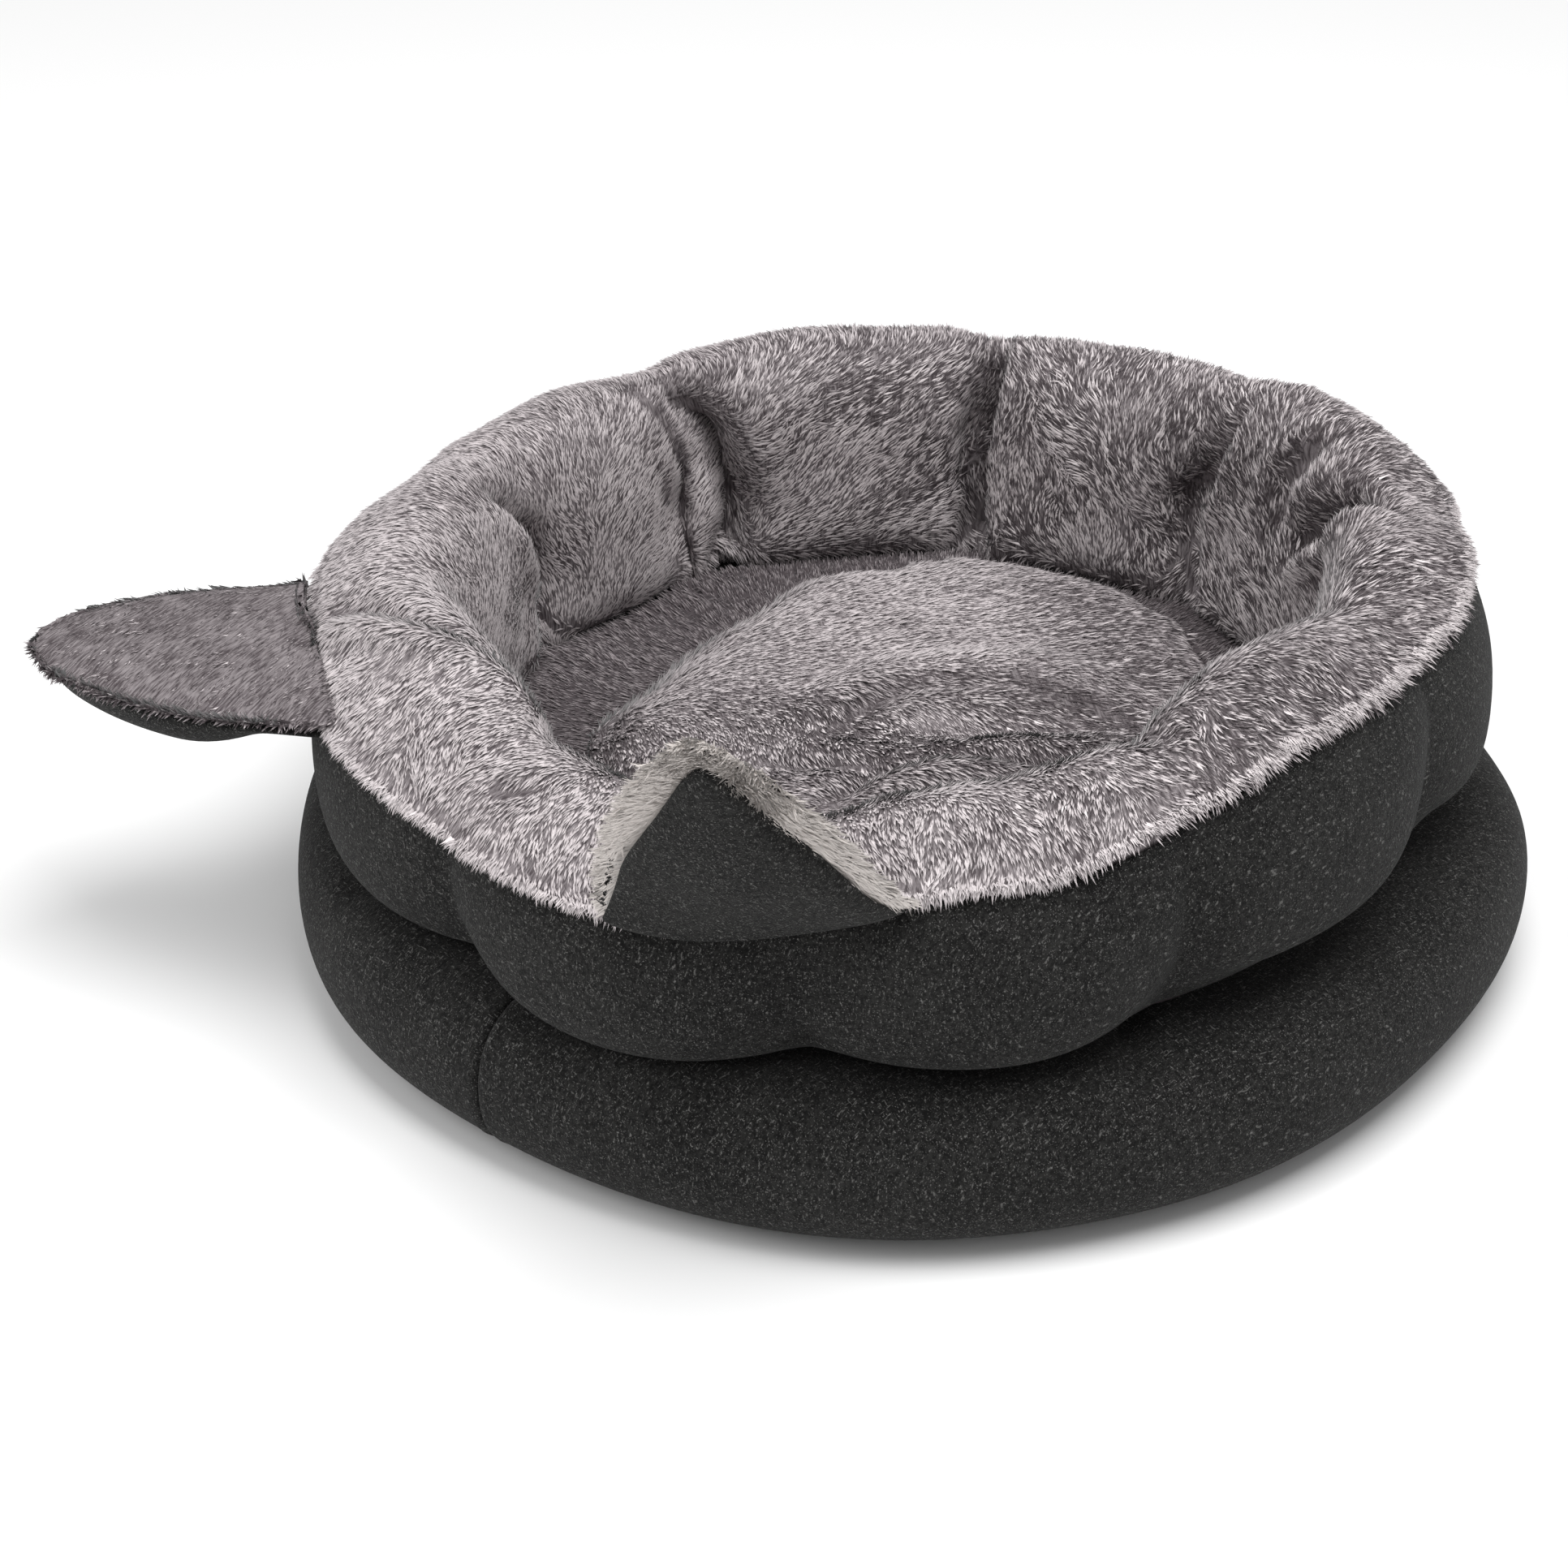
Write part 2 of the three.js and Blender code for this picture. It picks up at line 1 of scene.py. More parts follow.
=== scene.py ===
"""Round fabric pet bed: felt pad, ring of plush pockets, loose cushion and two ears."""

import logging
import math
from dataclasses import dataclass, field
from enum import Enum
from functools import cached_property
from typing import Callable, Iterable

import bmesh
import bpy
import numpy as np
from mathutils import Euler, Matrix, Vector
from mathutils.kdtree import KDTree


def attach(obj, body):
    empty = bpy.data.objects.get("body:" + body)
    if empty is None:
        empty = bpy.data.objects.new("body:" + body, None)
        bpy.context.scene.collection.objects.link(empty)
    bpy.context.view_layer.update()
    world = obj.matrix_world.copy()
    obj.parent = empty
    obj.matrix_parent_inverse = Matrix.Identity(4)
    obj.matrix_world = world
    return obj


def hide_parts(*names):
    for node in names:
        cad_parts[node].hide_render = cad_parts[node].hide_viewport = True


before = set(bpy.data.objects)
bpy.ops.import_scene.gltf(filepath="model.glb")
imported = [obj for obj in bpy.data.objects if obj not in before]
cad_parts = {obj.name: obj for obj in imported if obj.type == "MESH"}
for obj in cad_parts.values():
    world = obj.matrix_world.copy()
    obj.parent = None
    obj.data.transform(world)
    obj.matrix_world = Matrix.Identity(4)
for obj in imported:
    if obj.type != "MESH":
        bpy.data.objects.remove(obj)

log = logging.getLogger("pet_bed")

BODY = "root"
MM = 0.001

Triple = tuple[float, float, float]
Colour = tuple[float, float, float]

# Azimuths of the ears' roots around the bed, in degrees
LEFT_EAR = 241.0
FRONT_EAR = 308.0

# Ways across the bed and to its open front, level with the floor
ACROSS = np.array([0.61, 0.79, 0.0])
FRONTWARD = np.array([0.79, -0.61, 0.0])


class Slot(Enum):
    """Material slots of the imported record."""

    FELT = "felt"
    PLUSH = "plush"


# Shader helpers


class Value:
    """A shader socket that takes part in arithmetic, adding one Math node a step."""

    def __init__(self, graph: "Graph", socket: bpy.types.NodeSocket) -> None:
        """Wraps a socket of a graph.

        Args:
            graph: The graph that new nodes go to.
            socket: The output socket that holds the number.
        """
        self.graph = graph
        self.socket = socket

    def _math(self, operation: str, first: object, second: object) -> "Value":
        """Adds one Math node.

        Args:
            operation: The Math node's operation.
            first: First operand, a Value or a number.
            second: Second operand, a Value or a number.

        Returns:
            The node's result.
        """
        made = self.graph.node("ShaderNodeMath", {"operation": operation}, {0: first, 1: second})
        return Value(self.graph, made.outputs[0])

    def __add__(self, other: object) -> "Value":
        """Sum with a value or a number."""
        return self._math("ADD", self, other)

    def __radd__(self, other: object) -> "Value":
        """Sum with a number on the left."""
        return self._math("ADD", other, self)

    def __sub__(self, other: object) -> "Value":
        """Difference from a value or a number."""
        return self._math("SUBTRACT", self, other)

    def __rsub__(self, other: object) -> "Value":
        """Difference with a number on the left."""
        return self._math("SUBTRACT", other, self)

    def __mul__(self, other: object) -> "Value":
        """Product with a value or a number."""
        return self._math("MULTIPLY", self, other)

    def __rmul__(self, other: object) -> "Value":
        """Product with a number on the left."""
        return self._math("MULTIPLY", other, self)

    def over(self, edge: float, width: float) -> "Value":
        """Soft step that rises from 0 to 1 about an edge.

        Args:
            edge: Value at which the step is half way.
            width: Range over which it rises.

        Returns:
            The stepped value, from 0 to 1.
        """
        made = self.graph.node(
            "ShaderNodeMapRange",
            {"interpolation_type": "SMOOTHSTEP", "clamp": True},
            {
                "Value": self,
                "From Min": edge - width / 2,
                "From Max": edge + width / 2,
                "To Min": 0.0,
                "To Max": 1.0,
            },
        )
        return Value(self.graph, made.outputs["Result"])


class Graph:
    """Node graph of one material, around its Principled shader."""

    def __init__(self, name: str) -> None:
        """Starts a material.

        Args:
            name: The material's name.
        """
        self.material = bpy.data.materials.new(name)
        self.material.use_nodes = True
        self.tree = self.material.node_tree
        self.shader = self.tree.nodes["Principled BSDF"]

    def node(self, kind: str, settings: dict, inputs: dict) -> bpy.types.Node:
        """Adds a node, sets it up and feeds its inputs.

        Args:
            kind: The node's type name.
            settings: Its own settings, set first.
            inputs: Values, links or Values by input name or number.

        Returns:
            The new node.
        """
        made = self.tree.nodes.new(kind)
        for key, value in settings.items():
            setattr(made, key, value)
        for key, value in inputs.items():
            self.feed(made.inputs[key], value)
        return made

    def settle(self, constants: dict[str, float]) -> None:
        """Sets those of the shader's inputs that are the same all over the surface."""
        for name, number in constants.items():
            self.shader.inputs[name].default_value = number

    def paint(self, name: str, value: object) -> None:
        """Feeds one of the shader's inputs."""
        self.feed(self.shader.inputs[name], value)

    def feed(self, socket: bpy.types.NodeSocket, value: object) -> None:
        """Links or sets one input.

        Args:
            socket: The input.
            value: A Value, a socket, a number or a colour.
        """
        if isinstance(value, Value):
            self.tree.links.new(value.socket, socket)
        elif isinstance(value, bpy.types.NodeSocket):
            self.tree.links.new(value, socket)
        elif isinstance(value, tuple) and socket.type == "RGBA":
            socket.default_value = (*value, 1.0)
        else:
            socket.default_value = value

    def coordinates(self, stretch: Triple = (1.0, 1.0, 1.0), turn: float = 0.0) -> bpy.types.NodeSocket:
        """Object coordinates, stretched and turned about Z.

        Args:
            stretch: Factor along each axis.
            turn: Angle about Z in radians.

        Returns:
            The mapped coordinates.
        """
        here = self.node("ShaderNodeTexCoord", {}, {})
        return self.mapped(here.outputs["Object"], stretch, turn)

    def mapped(
        self, where: bpy.types.NodeSocket, stretch: Triple, turn: float = 0.0
    ) -> bpy.types.NodeSocket:
        """Stretches and turns coordinates.

        Args:
            where: The coordinates.
            stretch: Factor along each axis.
            turn: Angle about Z in radians.

        Returns:
            The mapped coordinates.
        """
        inputs = {"Vector": where, "Scale": stretch, "Rotation": (0.0, 0.0, turn)}
        return self.node("ShaderNodeMapping", {}, inputs).outputs["Vector"]

    def noise(
        self, scale: float, detail: float = 2.0, where: bpy.types.NodeSocket | None = None
    ) -> Value:
        """Noise over the surface.

        Args:
            scale: Cells in a metre.
            detail: Octaves of finer noise.
            where: Coordinates, or Object coordinates if none.

        Returns:
            The noise, around 0.5.
        """
        made = self.node(
            "ShaderNodeTexNoise",
            {},
            {"Vector": where or self.coordinates(), "Scale": scale, "Detail": detail, "Roughness": 0.55},
        )
        return Value(self, made.outputs["Fac"])

    def mix(self, share: object, low: object, high: object) -> bpy.types.NodeSocket:
        """Mixes two colours.

        Args:
            share: How much of the second one.
            low: First colour.
            high: Second colour.

        Returns:
            The mixed colour.
        """
        made = self.node("ShaderNodeMix", {"data_type": "RGBA"}, {0: share, 6: low, 7: high})
        return made.outputs[2]

    def bump(self, height: object, distance: float, strength: float) -> bpy.types.NodeSocket:
        """Bump from a height.

        Args:
            height: The height, from 0 to 1.
            distance: Metres that 1 stands for.
            strength: Strength of the effect.

        Returns:
            The bumped normal.
        """
        inputs = {"Strength": strength, "Distance": distance, "Height": height}
        return self.node("ShaderNodeBump", {}, inputs).outputs["Normal"]


# Finishes

# Names of the maps and of the attribute that the finishes read
LIE_MAP = "lie"
LOCK_MAP = "OFBake"
# The attribute holds how much painted shade the backing gets, in the folds and under the ring
PARTING_AND_SHADE = "parting_and_shade"

# Range of the lock map's U over one lock
LOCK_SPREAD = 0.055


@dataclass(frozen=True)
class FeltFinish:
    """Dark mottled felt with fine pale flecks and short fibres.

    Its clouds, mottle, fibres and grain are given as cells of noise in a metre.
    """

    name: str = "felt_charcoal"
    dark: Colour = (0.0020, 0.0019, 0.0018)
    light: Colour = (0.0190, 0.0186, 0.0178)
    fleck: Colour = (0.21, 0.207, 0.200)
    clouds: float = 18.0
    mottle: float = 520.0
    fibre: float = 1500.0
    grain: float = 1900.0
    lie_a: tuple[Triple, float] = ((1.0, 0.25, 0.35), 0.5)
    lie_b: tuple[Triple, float] = ((0.25, 1.0, 0.8), -0.7)
    hair_edge: float = 0.69
    speck_edge: float = 0.70
    relief: float = 0.8 * MM

    def material(self) -> bpy.types.Material:
        """Builds the material.

        Returns:
            The felt material.
        """
        graph = Graph(self.name)
        clouds = graph.noise(self.clouds, 2.0)
        mottle = graph.noise(self.mottle, 3.0)
        fibres_a = graph.noise(self.fibre, 1.0, graph.coordinates(*self.lie_a))
        fibres_b = graph.noise(self.fibre, 1.0, graph.coordinates(*self.lie_b))
        grain = graph.noise(self.grain, 1.0)
        tone = mottle * 0.9 + clouds * 0.35 + grain * 0.5 + fibres_a * 0.4
        ground = graph.mix((tone - 0.70).over(0.38, 0.42), self.dark, self.light)
        hairs = fibres_a.over(self.hair_edge, 0.10) + fibres_b.over(self.hair_edge, 0.10)
        specks = grain.over(self.speck_edge, 0.08)
        graph.paint("Base Color", graph.mix((hairs * 0.5 + specks * 0.8) * 0.8, ground, self.fleck))
        relief = mottle * 0.5 + fibres_a * 0.5 + fibres_b * 0.5 + grain * 0.4
        graph.paint("Normal", graph.bump(relief, self.relief, 0.8))
        graph.settle(
            {"Roughness": 0.95, "Sheen Weight": 0.03, "Sheen Roughness": 0.6, "Specular IOR Level": 0.2}
        )
        return graph.material


@dataclass(frozen=True)
class BackingFinish:
    """Shaded backing that shows among the locks of the pile, darkened as painted shade in the folds and under
    the ring.
    """

    name: str = "plush_backing"
    deep: Colour = (0.070, 0.058, 0.062)
    raised: Colour = (0.27, 0.243, 0.250)
    # Painted shade in the folds and under the ring
    parting_and_shade: Colour = (0.045, 0.036, 0.039)
    clouds: float = 60.0
    strand: float = 0.8 * MM
    run: float = 7.0 * MM
    relief: float = 1.5 * MM

    def material(self) -> bpy.types.Material:
        """Builds the material.

        Returns:
            The backing material.
        """
        graph = Graph(self.name)
        chart = graph.node("ShaderNodeUVMap", {"uv_map": LIE_MAP}, {}).outputs["UV"]
        clouds = graph.noise(self.clouds, 2.0)
        strands = graph.noise(1.0, 2.0, graph.mapped(chart, (1 / self.strand, 1 / self.run, 1.0)))
        lying = graph.mix((clouds * 0.3 + strands * 0.7).over(0.5, 0.30), self.deep, self.raised)
        # Painted shade where the attribute marks the folds and the ring's underside
        parting_and_shade = graph.node("ShaderNodeAttribute", {"attribute_name": PARTING_AND_SHADE}, {}).outputs["Fac"]
        graph.paint("Base Color", graph.mix(parting_and_shade, lying, self.parting_and_shade))
        graph.paint("Normal", graph.bump(strands, self.relief, 0.8))
        graph.settle({"Roughness": 0.95, "Specular IOR Level": 0.1})
        return graph.material


@dataclass(frozen=True)
class PileFinish:
    """Locks of plush pile, each streaked with fibres: shaded at the root, pale at the tip.

    The darker a lock's tint, the less of its tip is pale. Across a lock the map's U runs
    over LOCK_SPREAD about the lock's tint, and V runs from 0 at its root to 1 at its tip.
    Fibres and run are cells of noise over the map's U and V.
    """

    name: str = "plush_pile"
    root: Colour = (0.062, 0.050, 0.054)
    tip_dark: Colour = (0.36, 0.317, 0.328)
    tip_light: Colour = (0.84, 0.777, 0.782)
    # Painted shade in the gaps among a lock's fibres
    gap: Colour = (0.075, 0.062, 0.066)
    fibres: float = 60.0
    run: float = 2.5
    edge: float = 1.05
    fade: float = 0.6

    def material(self) -> bpy.types.Material:
        """Builds the material, which reads only the locks' own map.

        Returns:
            The pile material.
        """
        graph = Graph(self.name)
        place = graph.node("ShaderNodeUVMap", {"uv_map": LOCK_MAP}, {}).outputs["UV"]
        parts = graph.node("ShaderNodeSeparateXYZ", {}, {"Vector": place}).outputs
        tint, reach = Value(graph, parts["X"]), Value(graph, parts["Y"])
        fibres = graph.noise(1.0, 1.5, graph.mapped(place, (self.fibres, self.run, 1.0)))
        tip = graph.mix(tint + (fibres - 0.5) * 0.5, self.tip_dark, self.tip_light)
        lit = (reach + tint * 1.5 + (fibres - 0.5) * 0.4).over(self.edge, self.fade)
        # Painted shade in the gaps among the fibres, less on pale locks
        gap_shade = (0.46 - fibres).over(0.03, 0.10) * (1 - tint * 1.1)
        graph.paint("Base Color", graph.mix(gap_shade * 0.8, graph.mix(lit, self.root, tip), self.gap))
        graph.settle(
            {"Roughness": 0.7, "Specular IOR Level": 0.3, "Sheen Weight": 0.2, "Sheen Roughness": 0.4}
        )
        return graph.material


@dataclass(frozen=True)
class PlainFinish:
    """Plain matt finish, for the floor."""

    name: str
    colour: Colour
    roughness: float = 0.9

    def material(self) -> bpy.types.Material:
        """Builds the material.

        Returns:
            The plain material.
        """
        graph = Graph(self.name)
        graph.paint("Base Color", self.colour)
        graph.settle({"Roughness": self.roughness, "Specular IOR Level": 0.0})
        return graph.material


# Mesh helpers

# A CAD node's loose triangles: how near corners are joined, and what counts as no edge
WELD = 2e-6
NO_EDGE = 1e-7

# Bend and slant up to which two triangles of a node are halves of one square
SQUARE_BEND = math.radians(50)
SQUARE_SLANT = math.radians(80)

# Shrinkage of the simulated cloth: below 0, so it grows
CLOTH_GROWTH = -0.02


def smooth_step(value: np.ndarray, low: float, high: float) -> np.ndarray:
    """Eased rise from 0 at low to 1 at high."""
    share = np.clip((value - low) / (high - low), 0.0, 1.0)
    return share * share * (3.0 - 2.0 * share)


def unit(vectors: np.ndarray) -> np.ndarray:
    """Rows scaled to length 1."""
    return vectors / (np.linalg.norm(vectors, axis=1, keepdims=True) + 1e-12)


def hump(value: np.ndarray, middle: float, width: float) -> np.ndarray:
    """Smooth hump of height 1 about a middle."""
    return np.exp(-(((value - middle) / width) ** 2))


class Ripple:
    """Smooth vector noise over space, a sum of seeded sine waves."""

    def __init__(self, size: float, seed: int, waves: int = 10) -> None:
        """Draws the waves.

        Args:
            size: Typical wavelength in metres.
            seed: Seed of the draw.
            waves: How many waves are added up.
        """
        dice = np.random.default_rng(seed)
        self.across = dice.normal(size=(waves, 3))
        self.across *= 2 * math.pi / size / np.linalg.norm(self.across, axis=1, keepdims=True)
        self.across *= dice.uniform(0.7, 1.4, size=(waves, 1))
        self.phase = dice.uniform(0, 2 * math.pi, size=waves)
        self.push = dice.normal(size=(waves, 3)) / math.sqrt(waves)

    def vectors(self, points: np.ndarray) -> np.ndarray:
        """Noise vectors at points, about 1 long."""
        return np.sin(points @ self.across.T + self.phase) @ self.push

    def numbers(self, points: np.ndarray) -> np.ndarray:
        """Noise numbers at points, about from -1 to 1."""
        return self.vectors(points)[:, 0]


class Cloth:
    """A piece of cloth that starts as a copy of a CAD node's mesh."""

    def __init__(self, node: str, name: str) -> None:
        """Copies the node's mesh, with its loose triangles joined.

        Args:
            node: The CAD node.
            name: The piece's name.
        """
        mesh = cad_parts[node].data.copy()
        mesh.name = name
        mesh.materials.clear()
        self.object = bpy.data.objects.new(name, mesh)
        bpy.context.scene.collection.objects.link(self.object)
        work = bmesh.new()
        work.from_mesh(mesh)
        bmesh.ops.remove_doubles(work, verts=work.verts, dist=WELD)
        bmesh.ops.dissolve_degenerate(work, edges=work.edges, dist=NO_EDGE)
        for face in work.faces:
            face.smooth = True
        for edge in work.edges:
            edge.smooth = True
        work.to_mesh(mesh)
        work.free()
        if "custom_normal" in mesh.attributes:
            mesh.attributes.remove(mesh.attributes["custom_normal"])

    def select(self) -> None:
        """Makes this the only selected and the active object."""
        bpy.ops.object.select_all(action="DESELECT")
        self.object.select_set(True)
        bpy.context.view_layer.objects.active = self.object

    def square_up(self) -> None:
        """Joins pairs of triangles into the squares they were cut from."""
        work = bmesh.new()
        work.from_mesh(self.object.data)
        bmesh.ops.join_triangles(
            work,
            faces=work.faces,
            angle_face_threshold=SQUARE_BEND,
            angle_shape_threshold=SQUARE_SLANT,
        )
        work.to_mesh(self.object.data)
        work.free()

    def modify(self, kind: str, settings: dict[str, float]) -> None:
        """Adds a modifier and applies it.

        Args:
            kind: The modifier's type.
            settings: Its settings.
        """
        self.select()
        smoother = self.object.modifiers.new("smoother", kind)
        for name, number in settings.items():
            setattr(smoother, name, number)
        bpy.ops.object.modifier_apply(modifier=smoother.name)

    def subdivide(self, levels: int) -> None:
        """Applies a Subdivision Surface of some levels."""
        self.modify("SUBSURF", {"levels": levels, "render_levels": levels})

    def remesh(self, size: float, rounds: int) -> None:
        """Remeshes into even squares and smooths the facets away.

        Args:
            size: Side of a square in metres.
            rounds: Rounds of smoothing.
        """
        self.select()
        self.object.data.remesh_voxel_size = size
        self.object.data.use_remesh_preserve_volume = True
        bpy.ops.object.voxel_remesh()
        if rounds:
            self.modify("SMOOTH", {"factor": 0.5, "iterations": rounds})
        self.object.data.shade_smooth()

    def read(self, mesh: bpy.types.Mesh, what: str) -> np.ndarray:
        """Reads three numbers a vertex.

        Args:
            mesh: The mesh to read.
            what: Their name in Blender.

        Returns:
            One row a vertex.
        """
        rows = np.zeros(len(mesh.vertices) * 3)
        mesh.vertices.foreach_get(what, rows)
        return rows.reshape(-1, 3)

    @property
    def points(self) -> np.ndarray:
        """Vertex places, one row each."""
        return self.read(self.object.data, "co")

    def move(self, places: np.ndarray) -> None:
        """Sets the vertex places."""
        self.object.data.vertices.foreach_set("co", places.ravel())
        self.object.data.update()

    @property
    def normals(self) -> np.ndarray:
        """Vertex normals, one row each."""
        return self.read(self.object.data, "normal")

    def chart(self, across: np.ndarray, along: np.ndarray, lap: float = 0.0) -> None:
        """Lays the map that the pile's streaks follow.

        Args:
            across: Metres across the lie of the pile, at each vertex.
            along: Metres along it.
            lap: Length after which across starts again, or 0.
        """
        mesh = self.object.data
        corner = np.zeros(len(mesh.loops), np.int32)
        mesh.loops.foreach_get("vertex_index", corner)
        u, v = across[corner].copy(), along[corner]
        if lap:
            start = np.zeros(len(mesh.polygons), np.int32)
            mesh.polygons.foreach_get("loop_start", start)
            spread = np.maximum.reduceat(u, start) - np.minimum.reduceat(u, start)
            wide = np.repeat(spread > lap / 2, np.diff(np.append(start, len(u))))
            u[wide & (u < lap / 2)] += lap
        layer = mesh.uv_layers.new(name=LIE_MAP)
        layer.data.foreach_set("uv", np.stack([u, v], axis=1).astype(np.float32).ravel())

    def mark(self, values: np.ndarray) -> None:
        """Keeps how much painted shade the backing gets at each vertex, for its finish to read."""
        layer = self.object.data.attributes.new(PARTING_AND_SHADE, "FLOAT", "POINT")
        layer.data.foreach_set("value", values.astype(np.float32))

    def inflate(self, cap: float, pressure: float = 4.0, frames: int = 20, quality: int = 5) -> None:
        """Fills the closed piece by a cloth simulation and keeps the swollen shape.

        Args:
            cap: The most that a point may move, in metres.
            pressure: Pressure of the filling.
            frames: Steps of the simulation.
            quality: Parts that each step is worked out in.
        """
        self.select()
        before = self.points
        filling = self.object.modifiers.new("filling", "CLOTH")
        filling.settings.quality = quality
        filling.settings.use_pressure = True
        filling.settings.uniform_pressure_force = pressure
        filling.settings.effector_weights.gravity = 0.0
        filling.settings.shrink_min = CLOTH_GROWTH
        filling.point_cache.frame_start = 1
        filling.point_cache.frame_end = frames
        scene = bpy.context.scene
        for step in range(1, frames + 1):
            scene.frame_set(step)
        seen = self.object.evaluated_get(bpy.context.evaluated_depsgraph_get())
        push = self.read(seen.data, "co") - before
        self.object.modifiers.remove(filling)
        scene.frame_set(1)
        size = np.linalg.norm(push, axis=1, keepdims=True)
        log.info("%s: filling moves it by up to %.1f mm", self.object.name, size.max() * 1000)
        self.move(before + push * np.minimum(1.0, cap / np.maximum(size, 1e-9)))

    def dress(self, material: bpy.types.Material, slot: Slot, *nodes: str) -> None:
        """Gives the piece its material and its place in the frame.

        Args:
            material: The finish.
            slot: The record's material slot; not used.
            nodes: CAD nodes that the piece stands for.
        """
        self.object.data.materials.clear()
        self.object.data.materials.append(material)
        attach(self.object, BODY)
        if nodes:
            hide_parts(*nodes)
        log.info("%s: %d vertices", self.object.name, len(self.object.data.vertices))


@dataclass(frozen=True)
class Fold:
    """A crease in a filled surface, through marks given in the piece's own two measures.

    The cloth laps over it from ahead if lap is 1, from behind if lap is -1, and stands the
    same on both sides if lap is 0. End is the share of the depth that is left at the path's
    end, and swell is how far the cloth rises beside the crease, as a share of its depth.
    """

    path: tuple[tuple[float, float], ...]
    depth: float
    width: float
    lap: int = 0
    end: float = 0.0
    swell: float = 0.3

    def taper(self, share: np.ndarray) -> np.ndarray:
        """Share of the depth along the path."""
        return smooth_step(share, -0.05, 0.3) * (1 - (1 - self.end) * smooth_step(share, 0.65, 1.0))


# The ring's section: its middle and the level about which the turn is counted
SECTION_RADIUS = 0.197
SECTION_HEIGHT = 0.120


def polar(points: np.ndarray) -> tuple[np.ndarray, np.ndarray]:
    """Azimuth in degrees, from 0 to 360, and radius of points in plan."""
    return np.degrees(np.arctan2(points[:, 1], points[:, 0])) % 360, np.hypot(points[:, 0], points[:, 1])


def ring_places(points: np.ndarray) -> tuple[np.ndarray, np.ndarray]:
    """Azimuth and turn around the section of points of the ring, in degrees."""
    azimuth, radius = polar(points)
    return azimuth, np.degrees(np.arctan2(points[:, 2] - SECTION_HEIGHT, radius - SECTION_RADIUS)) % 360


def sideways(points: np.ndarray) -> np.ndarray:
    """The way around the bed at points, toward growing azimuth."""
    return unit(np.stack([-points[:, 1], points[:, 0], np.zeros(len(points))], axis=1))


def around(angles: np.ndarray, angle: float) -> np.ndarray:
    """Angles counted from one angle, from -180 to 180 degrees."""
    return (angles - angle + 180) % 360 - 180


# A fold's line: places from mark to mark, and rounds of smoothing
STEPS_A_MARK = 8
SMOOTHING_ROUNDS = 3

# A fold at least this deep parts the pile fully
FULL_PARTING = 8 * MM


